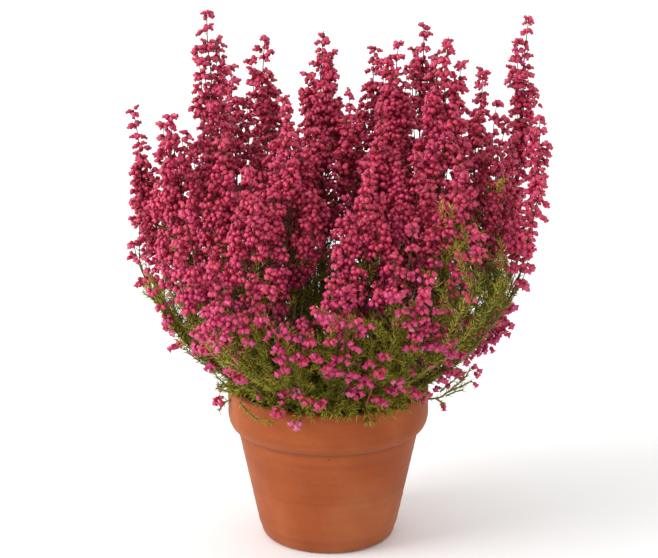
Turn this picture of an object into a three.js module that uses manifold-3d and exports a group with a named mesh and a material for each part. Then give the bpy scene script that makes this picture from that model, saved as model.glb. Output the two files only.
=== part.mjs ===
import * as THREE from "three";
import Module from "manifold-3d";

// A cape heath in flower, in its clay pot. Millimetres, +Z up, the pot's foot on z = 0 and its axis on z.
// Every stem rises from the soil, forks once and ends in a few flower spikes.
// The spikes fan out together: each keeps its own share of one common spread, so that no two cross.

// Pot, from its outline in the photo with the rim taken as 120 mm across
const POT_SIDES = 36;
const FOOT_RADIUS = 40.5;
const FOOT_EDGE = 3.5;
const BASE_KINK_RADIUS = 42.1;
const BASE_KINK_HEIGHT = 8.7;
const BODY_TOP_RADIUS = 54.5;
const BODY_TOP_HEIGHT = 68;
const RIM_RADIUS = 60.1;
const RIM_BULGE_HEIGHT = 77.7;
const POT_HEIGHT = 93;
const RIM_ROUNDING = 1.4;
const WALL = 5;
const FLOOR = 7;
const DRAIN_RADIUS = 6.5;

// Soil
const SOIL_SIDES = 20;
const SOIL_LEVEL = 81.5;
const SOIL_BUMP = 1.1;
const SOIL_GAP = 0.35;

// The photo's viewpoint, from the pot's outline: it looks along +Y and slightly down
const VIEW_TILT = THREE.MathUtils.degToRad(14.3);
const VIEW_DISTANCE = 1000;
const VIEW_TARGET = new THREE.Vector3(0.5, 0, 158);
const VIEW_FOCAL_PIXELS = 1696;
const VIEW_CENTRE_U = 329;
const VIEW_CENTRE_V = 279;

// Spikes seen in the photo: u and v are the pixel where the tip is, read by eye.
// depth is how far the tip lies behind the pot's axis, from the height of its lowest flowers and girth the
// reach of its florets where it is fullest, in mm; without a girth it is as full as its neighbours let it be.
const SEEN_SPIKES = [
  { stem: 1, u: 134, v: 108, depth: 34, from: 132, girth: 10.3 },
  { stem: 1, u: 133, v: 241, depth: -2, from: 122, girth: 8.5 },
  { stem: 1, u: 172, v: 112, depth: -10, from: 160 },
  { stem: 4, u: 222, v: 140, depth: -29, from: 172 },
  { stem: 3, u: 152, v: 290, depth: -41, from: 117, girth: 10 },
  { stem: 3, u: 185, v: 205, depth: -60, from: 124 },
  { stem: 4, u: 208, v: 11, depth: 14, from: 186 },
  { stem: 2, u: 232, v: 64, depth: 44, from: 186 },
  { stem: 6, u: 263, v: 34, depth: 70, from: 186 },
  { stem: 7, u: 212, v: 258, depth: -95, from: 119 },
  { stem: 7, u: 270, v: 270, depth: -97, from: 117 },
  { stem: 7, u: 250, v: 165, depth: -69, from: 150 },
  { stem: 8, u: 287, v: 128, depth: -42, from: 172 },
  { stem: 8, u: 288, v: 100, depth: -6, from: 186 },
  { stem: 8, u: 322, v: 29, depth: 22, from: 190 },
  { stem: 9, u: 375, v: 48, depth: 67, from: 186 },
  { stem: 10, u: 397, v: 42, depth: 24, from: 190 },
  { stem: 10, u: 423, v: 20, depth: 55, from: 186 },
  { stem: 11, u: 384, v: 106, depth: -12, from: 186 },
  { stem: 11, u: 448, v: 35, depth: -6, from: 180 },
  { stem: 11, u: 418, v: 150, depth: -39, from: 168 },
  { stem: 12, u: 368, v: 165, depth: -64, from: 150 },
  { stem: 12, u: 335, v: 250, depth: -97, from: 117 },
  { stem: 13, u: 458, v: 160, depth: -63, from: 152 },
  { stem: 13, u: 412, v: 222, depth: -97, from: 120 },
  { stem: 13, u: 482, v: 232, depth: -91, from: 136 },
  { stem: 14, u: 482, v: 66, depth: 31, from: 180 },
  { stem: 14, u: 528, v: 13, depth: 45, from: 166, girth: 8.2 },
  { stem: 16, u: 500, v: 145, depth: -1, from: 172 },
  { stem: 16, u: 521, v: 281, depth: 1, from: 118, girth: 7 },
  { stem: 17, u: 541, v: 116, depth: -26, from: 170, girth: 7.5 },
  { stem: 17, u: 541, v: 175, depth: -52, from: 158, girth: 8 },
];

// Spikes at the back, out of sight in the photo and placed to close the round of the bush, in mm
const HIDDEN_SPIKES = [
  { stem: 2, x: -105, y: 65, top: 226, from: 130 },
  { stem: 5, x: -85, y: 90, top: 222, from: 128 },
  { stem: 5, x: -52, y: 97, top: 200, from: 120 },
  { stem: 6, x: -19, y: 97, top: 232, from: 128 },
  { stem: 6, x: -6, y: 56, top: 230, from: 186 },
  { stem: 9, x: 13, y: 97, top: 200, from: 120 },
  { stem: 9, x: 47, y: 97, top: 226, from: 124 },
  { stem: 15, x: 78, y: 94, top: 222, from: 128 },
  { stem: 15, x: 100, y: 73, top: 222, from: 132 },
];

// How the stems open out with height
const NARROWING = 0.76;
const OPENING_HEIGHT = 50;
const BEND_HEIGHT = SOIL_LEVEL + 3.5;
const FORK_HEIGHT = 94.5;
const FORK_OPENING = 42;

// Stems and needles
const ROOT_DEPTH = 14;
const ROOT_GAP = 0.35;
const TRUNK_WIDTHS = { 2: 2.1, 3: 2.5 };
const TRUNK_SIDES = { 2: 4, 3: 3 };
const TRUNK_WHORL = 87.9;
const BRANCH_START = 104.5;
const BRANCH_RADIUS = 1.35;
const BRANCH_TOP_RADIUS = 1.2;
const BRANCH_POINTS = 10;
const NEEDLE_LENGTH = 6.6;
const NEEDLE_ROOT = 1.4;
const NEEDLE_LEAN = THREE.MathUtils.degToRad(52);
const NEEDLE_STEP = 8.5;
const INNER_NEEDLE_STEP = 24;
const NEEDLE_TWIST = Math.PI / 3;
const INNER_SPREAD = 88;
const NEEDLE_CLEARANCE = 0.7;
const SAMPLE_STEP = 1.5;

// Leafy side shoots that fill the bush just above the rim. Each spike takes the next height of the list.
const SHOOT_HEIGHTS = [107.5, 112];
const SHOOT_TURNS = [0.42, -0.42, 0.16, -0.16, 0.75, -0.75];
const SHOOT_LENGTH = 17;
const SHOOT_RADIUS = 1;
const SHOOT_TIP_RADIUS = 0.7;
const SHOOT_START = 0.28;
const SHOOT_NEEDLE_STEP = 5;
const BUD_HEIGHT = 2;

// Flower spikes: a ring of florets stands on each level, alternate points high and low
const SPIKE_POINTS = 6;
const SPIKE_GAP = 0.35;
const CORE_RADIUS = 1.3;
const TIP_ZONE_SHARE = 0.42;
const FOOT_ZONE = 16;
const WHORL_STEP = 7.4;
const FLORET_STEP = 6;
const FLORET_DROOP = 1.6;
const TIP_FLORET_RADIUS = 4.6;
const FULL_FLORET_RADIUS = 16;
const SHORT_TAPER = 34;
const LONG_TAPER = 72;
const LOW_TIP = 215;
const HIGH_TIP = 285;
const FULL_HOLLOW_SHARE = 0.57;
const CELL_CLEARANCE = 0.4;
const SPIKE_TWIST = 0.13;

const COLOURS = {
  clay: 0xb4623c,
  soil: 0x3a2a1e,
  leaf: 0x6b7030,
  flower: 0xbe2355,
};

const SEED = 41;

const wasm = await Module();
wasm.setup();

// A seeded source of even random numbers between 0 and 1
function makeRandom(seed) {
  let state = seed >>> 0;
  return () => {
    state = (state + 0x6d2b79f5) >>> 0;
    let t = state;
    t = Math.imul(t ^ (t >>> 15), t | 1);
    t ^= t + Math.imul(t ^ (t >>> 7), t | 61);
    return ((t ^ (t >>> 14)) >>> 0) / 4294967296;
  };
}

function smooth(value) {
  const t = Math.min(1, Math.max(0, value));
  return t * t * (3 - 2 * t);
}

function mix(a, b, t) {
  return a + (b - a) * t;
}

// The point behind a photo pixel, on the plane y = depth
function atPixel(u, v, depth) {
  const forward = new THREE.Vector3(0, Math.cos(VIEW_TILT), -Math.sin(VIEW_TILT));
  const up = new THREE.Vector3(0, Math.sin(VIEW_TILT), Math.cos(VIEW_TILT));
  const eye = VIEW_TARGET.clone().addScaledVector(forward, -VIEW_DISTANCE);
  const ray = forward.clone();
  ray.addScaledVector(new THREE.Vector3(1, 0, 0), (u - VIEW_CENTRE_U) / VIEW_FOCAL_PIXELS);
  ray.addScaledVector(up, (VIEW_CENTRE_V - v) / VIEW_FOCAL_PIXELS);
  return eye.addScaledVector(ray, (depth - eye.y) / ray.y);
}

// Share of the full spread reached at a height
function spread(height) {
  const above = Math.max(height, BEND_HEIGHT) - SOIL_LEVEL;
  return 1 - NARROWING * Math.exp(-above / OPENING_HEIGHT);
}

function makeSpikes() {
  const spikes = [];
  for (const seen of SEEN_SPIKES) {
    const tip = atPixel(seen.u, seen.v, seen.depth);
    spikes.push({ stem: seen.stem, tip, from: seen.from, girth: seen.girth ?? FULL_FLORET_RADIUS });
  }
  for (const hidden of HIDDEN_SPIKES) {
    const tip = new THREE.Vector3(hidden.x, hidden.y, hidden.top);
    spikes.push({ stem: hidden.stem, tip, from: hidden.from, girth: FULL_FLORET_RADIUS });
  }
  for (const spike of spikes) {
    const full = spread(spike.tip.z);
    spike.share = new THREE.Vector2(spike.tip.x / full, spike.tip.y / full);
  }
  return spikes;
}

// How far round a stem's own share each of its spikes lies
function bearing(stem, spike) {
  return Math.atan2(spike.share.y - stem.share.y, spike.share.x - stem.share.x);
}

function makeStems(spikes) {
  const stems = [];
  for (const spike of spikes) {
    let stem = stems.find((known) => known.number === spike.stem);
    if (!stem) {
      stem = { number: spike.stem, spikes: [], share: new THREE.Vector2() };
      stems.push(stem);
    }
    stem.spikes.push(spike);
    spike.owner = stem;
  }
  for (const stem of stems) {
    for (const spike of stem.spikes) {
      stem.share.addScaledVector(spike.share, 1 / stem.spikes.length);
    }
    stem.spikes.sort((a, b) => bearing(stem, a) - bearing(stem, b));
  }
  stems.sort((a, b) => a.number - b.number);
  return stems;
}

const SPIKES = makeSpikes();
const STEMS = makeStems(SPIKES);

// Where a spike's stem runs at a height: with its stem up to the fork, then more and more on its own
function axisAt(spike, height) {
  const apart = Math.min(1, Math.max(0, (height - FORK_HEIGHT) / FORK_OPENING)) ** 0.8;
  const share = spike.owner.share.clone().lerp(spike.share, apart);
  const open = spread(height);
  return new THREE.Vector3(share.x * open, share.y * open, height);
}

// The largest reach from a spike's axis, in one direction, that stays out of its neighbours' room
function roomAt(spike, height, angle, clearance, sameStem) {
  const centre = axisAt(spike, height);
  let room = Infinity;
  for (const other of SPIKES) {
    const shares = other.owner === spike.owner;
    if (other === spike || height > other.tip.z + 3 || (shares && !sameStem)) {
      continue;
    }
    const across = axisAt(other, height).sub(centre);
    const distance = Math.hypot(across.x, across.y);
    const facing = (across.x * Math.cos(angle) + across.y * Math.sin(angle)) / distance;
    if (facing > 0.02) {
      room = Math.min(room, (distance / 2 - clearance) / facing);
    }
  }
  return room;
}

// True where a point of a stem is in the stem's own room and off the pot
function isFree(spike, point, clearance) {
  const centre = axisAt(spike, point.z);
  const dx = point.x - centre.x;
  const dy = point.y - centre.y;
  const sameStem = point.z > FORK_HEIGHT + 12;
  const room = roomAt(spike, point.z, Math.atan2(dy, dx), clearance, sameStem);
  const radius = Math.hypot(point.x, point.y);
  const overRim = radius > BODY_TOP_RADIUS - WALL && radius < RIM_RADIUS + clearance;
  const offPot = !overRim || point.z > POT_HEIGHT + clearance;
  return Math.hypot(dx, dy) < room && offPot && point.z > SOIL_LEVEL + SOIL_BUMP + clearance;
}

function geometryFrom(points, faces) {
  const geometry = new THREE.BufferGeometry();
  geometry.setAttribute("position", new THREE.Float32BufferAttribute(points, 3));
  geometry.setIndex(faces);
  geometry.computeVertexNormals();
  return geometry;
}

// A closed surface grown ring by ring, each ring anticlockwise seen from the end it grows towards
class Skin {
  constructor() {
    this.points = [];
    this.faces = [];
  }

  addPoint(point) {
    this.points.push(point);
    return this.points.length - 1;
  }

  addRing(ring) {
    return ring.map((point) => this.addPoint(point));
  }

  closeStart(ring) {
    for (let side = 1; side + 1 < ring.length; side += 1) {
      this.faces.push(ring[0], ring[side + 1], ring[side]);
    }
  }

  closeEnd(ring) {
    for (let side = 1; side + 1 < ring.length; side += 1) {
      this.faces.push(ring[0], ring[side], ring[side + 1]);
    }
  }

  closeToTip(ring, point) {
    const tip = this.addPoint(point);
    ring.forEach((from, side) => this.faces.push(from, ring[(side + 1) % ring.length], tip));
  }

  // Joins two rings. In every four-sided patch the crease joins the two lower points, so that a high point
  // stands alone; between rings with none the creases all turn the shorter way. A side with a spur is drawn
  // out to that point. On the bud's side half of the patch is left open and handed back, for a shoot.
  join(low, high, spurs = [], bud = -1) {
    const count = low.length;
    const highs = (ring, side) => (this.points[ring[side % count]].high ? 1 : 0);
    const reach = (from, to) => {
      const [p, q] = [this.points[from], this.points[to]];
      return Math.hypot(p.x - q.x, p.y - q.y, p.z - q.z);
    };
    let forwards = 0;
    for (let side = 0; side < count; side += 1) {
      const next = (side + 1) % count;
      forwards += reach(low[side], high[next]) - reach(low[next], high[side]);
    }
    let open = null;
    for (let side = 0; side < count; side += 1) {
      const next = (side + 1) % count;
      const [a, b, c, d] = [low[side], low[next], high[side], high[next]];
      const lean = highs(low, side) + highs(high, next) - highs(low, next) - highs(high, side);
      if (spurs[side]) {
        const tip = this.addPoint(spurs[side]);
        this.faces.push(a, b, tip, b, d, tip, d, c, tip, c, a, tip);
      } else if (side === bud) {
        this.faces.push(a, d, c);
        open = [a, b, d];
      } else if (lean < 0 || (lean === 0 && forwards <= 0)) {
        this.faces.push(a, b, d, a, d, c);
      } else {
        this.faces.push(a, b, c, b, d, c);
      }
    }
    return open;
  }

  geometry() {
    return geometryFrom(this.points.flatMap((point) => [point.x, point.y, point.z]), this.faces);
  }

  solid() {
    const mesh = new wasm.Mesh({
      numProp: 3,
      vertProperties: new Float32Array(this.points.flatMap((point) => [point.x, point.y, point.z])),
      triVerts: new Uint32Array(this.faces),
    });
    return new wasm.Manifold(mesh);
  }
}

function geometryOf(solid) {
  const mesh = solid.getMesh();
  return geometryFrom(Array.from(mesh.vertProperties), Array.from(mesh.triVerts));
}

// The turn that tips the upright direction over to another one
function leanTo(along) {
  return new THREE.Quaternion().setFromUnitVectors(new THREE.Vector3(0, 0, 1), along);
}

// One ring of points round a place on a rod, square to its run
function rodRing(centre, along, radius, sides, turn) {
  const lean = leanTo(along);
  const ring = [];
  for (let side = 0; side < sides; side += 1) {
    const angle = turn + (2 * Math.PI * side) / sides;
    const offset = new THREE.Vector3(radius * Math.cos(angle), radius * Math.sin(angle), 0);
    ring.push(offset.applyQuaternion(lean).add(centre));
  }
  return ring;
}

// Points along a curve, for measuring how near other things come to it
function sampled(curve, radius, owner) {
  const count = Math.ceil(curve.getLength() / SAMPLE_STEP);
  return curve.getSpacedPoints(count).map((point) => ({ point, radius, owner }));
}

// One needle from each side of a short band, left out where it would touch anything else
function needlesAt(spike, low, high, along, taken, owner, random) {
  const base = [...low, ...high];
  const middle = new THREE.Vector3();
  base.forEach((point) => middle.addScaledVector(point, 1 / base.length));
  const added = [];
  const spurs = low.map((point, side) => {
    const next = low[(side + 1) % low.length];
    const out = point.clone().add(next).multiplyScalar(0.5).sub(middle);
    out.addScaledVector(along, -out.dot(along)).normalize();
    const direction = along.clone().multiplyScalar(Math.cos(NEEDLE_LEAN));
    direction.addScaledVector(out, Math.sin(NEEDLE_LEAN));
    const size = NEEDLE_LENGTH * mix(0.85, 1.1, random());
    const places = [0.4, 0.6, 0.8, 1].map((share) => middle.clone().addScaledVector(direction, size * share));
    const tip = places[places.length - 1];
    const clear = places.every((place) => isFree(spike, place, NEEDLE_CLEARANCE) && taken.every((other) => (
      other.owner === owner || place.distanceTo(other.point) > other.radius + NEEDLE_CLEARANCE
    )));
    if (!clear || tip.z > spike.from - 0.6) {
      return null;
    }
    added.push(...places.slice(1).map((place) => ({ point: place, radius: 0.5, owner: null })));
    return tip;
  });
  taken.push(...added);
  return spurs;
}

// Grows a thin rod along a curve from three points of the skin, with whorls of needles on the way.
// Each whorl is turned on from the last. A bud, if asked for, is handed back open for a shoot.
function growRod(skin, base, plan, taken, random) {
  const { spike, curve, radii, step, levelEnd, bud } = plan;
  const length = curve.getLength();
  const heart = new THREE.Vector3();
  base.forEach((index) => heart.addScaledVector(skin.points[index], 1 / base.length));
  const startAlong = curve.getTangentAt(0);
  const offset = new THREE.Vector3().copy(skin.points[base[0]]).sub(heart);
  offset.applyQuaternion(leanTo(startAlong).invert());
  let turn = Math.atan2(offset.y, offset.x);
  const levels = [];
  const whorls = Math.max(1, Math.round(length / step));
  for (let whorl = 0; whorl < whorls; whorl += 1) {
    const place = (whorl + mix(0.35, 0.62, random())) / whorls;
    const nearBud = bud && Math.abs(place - bud.place) * length < 2.5 * BUD_HEIGHT;
    if (!nearBud) {
      levels.push({ place, height: NEEDLE_ROOT });
    }
  }
  if (bud) {
    levels.push({ place: bud.place, height: BUD_HEIGHT, isBud: true });
  }
  levels.sort((a, b) => a.place - b.place);
  let open = null;
  let last = skin.addRing(rodRing(curve.getPointAt(0), startAlong, radii[0], base.length, turn));
  skin.join(base, last);
  for (const level of levels) {
    const along = curve.getTangentAt(level.place);
    turn += NEEDLE_TWIST;
    if (level.isBud) {
      const facing = bud.direction.clone().applyQuaternion(leanTo(along).invert());
      const wanted = Math.atan2(facing.y, facing.x) - Math.PI / base.length - turn;
      const sector = (2 * Math.PI) / base.length;
      turn += wanted - sector * Math.round(wanted / sector);
    }
    const radius = mix(radii[0], radii[1], level.place);
    const lowCentre = curve.getPointAt(level.place);
    const highCentre = lowCentre.clone().addScaledVector(along, level.height);
    const low = rodRing(lowCentre, along, radius, base.length, turn);
    const high = rodRing(highCentre, along, radius, base.length, turn);
    const lowRing = skin.addRing(low);
    const highRing = skin.addRing(high);
    skin.join(last, lowRing);
    if (level.isBud) {
      const facing = low.map((point, side) => {
        const next = low[(side + 1) % low.length];
        return point.clone().add(next).multiplyScalar(0.5).sub(lowCentre).normalize().dot(bud.direction);
      });
      open = skin.join(lowRing, highRing, [], facing.indexOf(Math.max(...facing)));
    } else {
      skin.join(lowRing, highRing, needlesAt(spike, low, high, along, taken, curve, random));
    }
    last = highRing;
  }
  const endAlong = levelEnd ? new THREE.Vector3(0, 0, 1) : curve.getTangentAt(1);
  const end = skin.addRing(rodRing(curve.getPointAt(1), endAlong, radii[1], base.length, turn + NEEDLE_TWIST));
  skin.join(last, end);
  skin.closeEnd(end);
  return open;
}

function branchCurve(spike) {
  const path = [];
  const end = spike.from - SPIKE_GAP;
  for (let i = 0; i <= BRANCH_POINTS; i += 1) {
    path.push(axisAt(spike, mix(BRANCH_START, end, i / BRANCH_POINTS)));
  }
  return new THREE.CatmullRomCurve3(path);
}

// A short shoot that leaves a branch outwards and level, kept only where it is clear of everything
function sideShoot(spike, height, taken, owner) {
  const start = axisAt(spike, height);
  const outward = Math.atan2(start.y, start.x);
  for (const turn of SHOOT_TURNS) {
    const angle = outward + turn;
    const path = [];
    for (const share of [SHOOT_START, 0.5, 0.75, 1]) {
      const gone = SHOOT_LENGTH * share;
      const rise = 0.3 * gone - 0.012 * gone * gone;
      path.push(new THREE.Vector3(
        start.x + gone * Math.cos(angle),
        start.y + gone * Math.sin(angle),
        start.z + rise,
      ));
    }
    const room = SHOOT_RADIUS + NEEDLE_CLEARANCE;
    const clear = path.every((point) => isFree(spike, point, room) && taken.every((other) => (
      other.owner === owner || point.distanceTo(other.point) > other.radius + room
    )));
    if (clear) {
      return new THREE.CatmullRomCurve3(path);
    }
  }
  return null;
}

// The turn of the trunk that sets one side, or one corner of a trunk of two, towards every branch
function trunkTurn(stem) {
  const count = stem.spikes.length;
  const first = count === 2 ? Math.PI / 2 : Math.PI / 3;
  let x = 0;
  let y = 0;
  stem.spikes.forEach((spike, index) => {
    const wanted = bearing(stem, spike) - first - (2 * Math.PI * index) / count;
    x += Math.cos(wanted);
    y += Math.sin(wanted);
  });
  return Math.atan2(y, x);
}

// One stem: its trunk rises from the soil and parts into its two or three branches at the fork
function leafyStem(stem, random) {
  const skin = new Skin();
  const count = stem.spikes.length;
  const turn = trunkTurn(stem);
  const plans = stem.spikes.map((spike) => {
    const isOuter = spike.share.length() > INNER_SPREAD;
    const step = isOuter ? NEEDLE_STEP : INNER_NEEDLE_STEP;
    const radii = [BRANCH_RADIUS, BRANCH_TOP_RADIUS];
    return { spike, isOuter, curve: branchCurve(spike), radii, step, levelEnd: true };
  });
  const taken = plans.flatMap((plan) => sampled(plan.curve, BRANCH_RADIUS, plan.curve));
  for (const plan of plans) {
    const height = SHOOT_HEIGHTS[SPIKES.indexOf(plan.spike) % SHOOT_HEIGHTS.length];
    const curve = plan.isOuter ? sideShoot(plan.spike, height, taken, plan.curve) : null;
    if (curve) {
      const start = axisAt(plan.spike, height);
      const place = (height - BRANCH_START) / (plan.spike.from - SPIKE_GAP - BRANCH_START);
      plan.bud = { place, direction: curve.getPointAt(0).sub(start).normalize() };
      plan.shoot = { spike: plan.spike, curve, radii: [SHOOT_RADIUS, SHOOT_TIP_RADIUS], step: SHOOT_NEEDLE_STEP };
      taken.push(...sampled(curve, SHOOT_RADIUS, curve));
    }
  }
  const atHeight = (height) => {
    const open = spread(height);
    return new THREE.Vector3(stem.share.x * open, stem.share.y * open, height);
  };
  const trunkRing = (height, radius) => {
    const along = height <= BEND_HEIGHT
      ? new THREE.Vector3(0, 0, 1)
      : atHeight(height + 1).sub(atHeight(height - 1)).normalize();
    return rodRing(atHeight(height), along, radius, TRUNK_SIDES[count], turn);
  };
  const width = TRUNK_WIDTHS[count];
  const foot = skin.addRing(trunkRing(SOIL_LEVEL - ROOT_DEPTH, width));
  const bend = skin.addRing(trunkRing(BEND_HEIGHT, width));
  const lowWhorl = trunkRing(TRUNK_WHORL, 0.95 * width);
  const highWhorl = trunkRing(TRUNK_WHORL + NEEDLE_ROOT, 0.95 * width);
  const low = skin.addRing(lowWhorl);
  const high = skin.addRing(highWhorl);
  const fork = skin.addRing(trunkRing(FORK_HEIGHT, 0.85 * width));
  const along = atHeight(TRUNK_WHORL + 1).sub(atHeight(TRUNK_WHORL - 1)).normalize();
  skin.closeStart(foot);
  skin.join(foot, bend);
  skin.join(bend, low);
  skin.join(low, high, needlesAt(stem.spikes[0], lowWhorl, highWhorl, along, taken, stem, random));
  skin.join(high, fork);
  const bases = [[fork[0], fork[1], fork[2]], [fork[0], fork[2], fork[3]]];
  if (count === 3) {
    const heart = skin.addPoint(atHeight(FORK_HEIGHT + 0.8));
    bases.splice(0, 2, [fork[0], fork[1], heart], [fork[1], fork[2], heart], [fork[2], fork[0], heart]);
  }
  plans.forEach((plan, index) => {
    const open = growRod(skin, bases[index], plan, taken, random);
    if (open) {
      growRod(skin, open, plan.shoot, taken, random);
    }
  });
  return skin.geometry();
}

// Heights and reach of the rings of one spike, from its lowest flowers up to its tip
function spikeLevels(spike, random) {
  const levels = [];
  const top = spike.tip.z;
  const taper = mix(SHORT_TAPER, LONG_TAPER, smooth((top - LOW_TIP) / (HIGH_TIP - LOW_TIP)));
  let height = spike.from;
  let whorl = 0;
  levels.push({ height, out: CORE_RADIUS, hollow: CORE_RADIUS, odd: 0 });
  height += 3.4;
  while (height < top - 1.5) {
    const below = top - height;
    const above = height - spike.from;
    const fullness = smooth(below / taper) * mix(0.45, 1, smooth(above / 30));
    const out = mix(TIP_FLORET_RADIUS, spike.girth, fullness);
    if (below < TIP_ZONE_SHARE * taper || above < FOOT_ZONE) {
      const body = mix(1.9, 4, smooth(below / taper));
      levels.push({ height, out, hollow: body, odd: whorl % 2 });
      levels.push({ height: height + 1.9, out: 0, hollow: CORE_RADIUS, odd: 0 });
      height += WHORL_STEP * mix(0.85, 1.15, random());
    } else {
      const hollow = mix(3.4, FULL_HOLLOW_SHARE * spike.girth, smooth(below / taper) * smooth(above / 34));
      levels.push({ height, out, hollow, odd: whorl % 2 });
      height += FLORET_STEP * mix(0.9, 1.1, random());
    }
    whorl += 1;
  }
  return levels;
}

function flowerSpike(spike, random) {
  const rings = [];
  const start = random() * Math.PI;
  spikeLevels(spike, random).forEach((level, index) => {
    const ring = [];
    for (let side = 0; side < SPIKE_POINTS; side += 1) {
      const high = level.out > CORE_RADIUS && (side + level.odd) % 2 === 0;
      const loose = level.hollow > CORE_RADIUS ? random() - 0.5 : 0;
      const angle = start + SPIKE_TWIST * index + (2 * Math.PI * side) / SPIKE_POINTS + 0.24 * loose;
      const height = level.height - (high ? FLORET_DROOP * mix(0.5, 1.4, random()) : 0);
      const wanted = high ? level.out * mix(0.82, 1.12, random()) : level.hollow * (1 + 0.2 * loose);
      const room = roomAt(spike, height, angle, CELL_CLEARANCE, true);
      const reach = Math.min(wanted, high ? room : 0.75 * room);
      const centre = axisAt(spike, height);
      ring.push({
        x: centre.x + reach * Math.cos(angle),
        y: centre.y + reach * Math.sin(angle),
        z: height,
        high,
      });
    }
    rings.push(ring);
  });
  const skin = new Skin();
  const placed = rings.map((ring) => skin.addRing(ring));
  skin.closeStart(placed[0]);
  placed.slice(1).forEach((ring, index) => skin.join(placed[index], ring));
  skin.closeToTip(placed[placed.length - 1], spike.tip);
  return skin.geometry();
}

// Inner radius of the pot at a height
function innerRadius(height) {
  const t = (height - BASE_KINK_HEIGHT) / (BODY_TOP_HEIGHT - BASE_KINK_HEIGHT);
  return mix(BASE_KINK_RADIUS, BODY_TOP_RADIUS, t) - WALL;
}

function pot() {
  const outline = [
    [DRAIN_RADIUS, 0],
    [FOOT_RADIUS - FOOT_EDGE, 0],
    [FOOT_RADIUS - 1, 1],
    [FOOT_RADIUS, FOOT_EDGE],
    [BASE_KINK_RADIUS, BASE_KINK_HEIGHT],
    [BODY_TOP_RADIUS, BODY_TOP_HEIGHT],
    [mix(BODY_TOP_RADIUS, RIM_RADIUS, 0.52), mix(BODY_TOP_HEIGHT, RIM_BULGE_HEIGHT, 0.22)],
    [mix(BODY_TOP_RADIUS, RIM_RADIUS, 0.86), mix(BODY_TOP_HEIGHT, RIM_BULGE_HEIGHT, 0.58)],
    [RIM_RADIUS, RIM_BULGE_HEIGHT],
    [RIM_RADIUS, POT_HEIGHT - RIM_ROUNDING],
    [RIM_RADIUS - RIM_ROUNDING, POT_HEIGHT],
    [innerRadius(POT_HEIGHT) + RIM_ROUNDING, POT_HEIGHT],
    [innerRadius(POT_HEIGHT - RIM_ROUNDING), POT_HEIGHT - RIM_ROUNDING],
    [innerRadius(FLOOR + 2), FLOOR + 2],
    [innerRadius(FLOOR) - 2, FLOOR],
    [DRAIN_RADIUS, FLOOR],
  ];
  const skin = new Skin();
  const rings = outline.map(([radius, height]) => {
    const ring = [];
    for (let side = 0; side < POT_SIDES; side += 1) {
      const angle = (2 * Math.PI * side) / POT_SIDES;
      ring.push(new THREE.Vector3(radius * Math.cos(angle), radius * Math.sin(angle), height));
    }
    return skin.addRing(ring);
  });
  rings.forEach((ring, index) => skin.join(ring, rings[(index + 1) % rings.length]));
  return skin.geometry();
}

// Root ball that fills the pot, its top uneven, with a plain hole for every stem
function soil() {
  const bottom = FLOOR + SOIL_GAP;
  const rings = [];
  const addRing = (radius, height, uneven) => {
    const ring = [];
    for (let side = 0; side < SOIL_SIDES; side += 1) {
      const angle = (2 * Math.PI * side) / SOIL_SIDES;
      const wave = Math.sin(3 * angle + 0.4 * radius) + Math.sin(7 * angle - 0.9 * radius);
      ring.push({
        x: radius * Math.cos(angle),
        y: radius * Math.sin(angle),
        z: height + 0.5 * SOIL_BUMP * uneven * wave,
      });
    }
    rings.push(ring);
  };
  const wallGap = SOIL_GAP + 0.3;
  addRing(innerRadius(bottom) - 2.3 - wallGap, bottom, 0);
  addRing(innerRadius(bottom + 2) - wallGap, bottom + 2, 0);
  addRing(innerRadius(SOIL_LEVEL - 3) - wallGap, SOIL_LEVEL - 3, 0);
  addRing(innerRadius(SOIL_LEVEL - 3) - wallGap - 1, SOIL_LEVEL - 0.8, 0.5);
  addRing(38, SOIL_LEVEL, 1);
  addRing(23, SOIL_LEVEL, 1);
  addRing(8, SOIL_LEVEL, 1);
  const ball = new Skin();
  const placed = rings.map((ring) => ball.addRing(ring));
  ball.closeStart(placed[0]);
  placed.slice(1).forEach((ring, index) => ball.join(placed[index], ring));
  ball.closeToTip(placed[placed.length - 1], new THREE.Vector3(0, 0, SOIL_LEVEL));
  const holes = STEMS.map((stem) => {
    const count = stem.spikes.length;
    const sides = TRUNK_SIDES[count];
    const radius = TRUNK_WIDTHS[count] + ROOT_GAP / Math.cos(Math.PI / sides);
    const upright = new THREE.Vector3(0, 0, 1);
    const hole = new Skin();
    const ends = [SOIL_LEVEL - ROOT_DEPTH - ROOT_GAP, SOIL_LEVEL + 2 * SOIL_BUMP].map((height) => {
      const centre = new THREE.Vector3(stem.share.x * spread(0), stem.share.y * spread(0), height);
      return hole.addRing(rodRing(centre, upright, radius, sides, trunkTurn(stem)));
    });
    hole.closeStart(ends[0]);
    hole.join(ends[0], ends[1]);
    hole.closeEnd(ends[1]);
    return hole.solid();
  });
  return geometryOf(ball.solid().subtract(wasm.Manifold.union(holes)));
}

function addPiece(group, name, geometry, colour) {
  const material = new THREE.MeshStandardMaterial({ color: colour, roughness: 0.8, flatShading: true });
  const mesh = new THREE.Mesh(geometry, material);
  mesh.name = name;
  group.add(mesh);
}

const heath = new THREE.Group();
heath.name = "potted_cape_heath";
addPiece(heath, "pot", pot(), COLOURS.clay);
addPiece(heath, "potting_soil", soil(), COLOURS.soil);
STEMS.forEach((stem, index) => {
  const label = String(index + 1).padStart(2, "0");
  addPiece(heath, `leafy_stem_${label}`, leafyStem(stem, makeRandom(SEED + index)), COLOURS.leaf);
});
SPIKES.forEach((spike, index) => {
  const label = String(index + 1).padStart(2, "0");
  addPiece(heath, `flower_spike_${label}`, flowerSpike(spike, makeRandom(SEED * 7 + index)), COLOURS.flower);
});

export default heath;
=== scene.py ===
import math

import bpy
import numpy as np
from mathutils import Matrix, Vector
from mathutils.bvhtree import BVHTree


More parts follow.
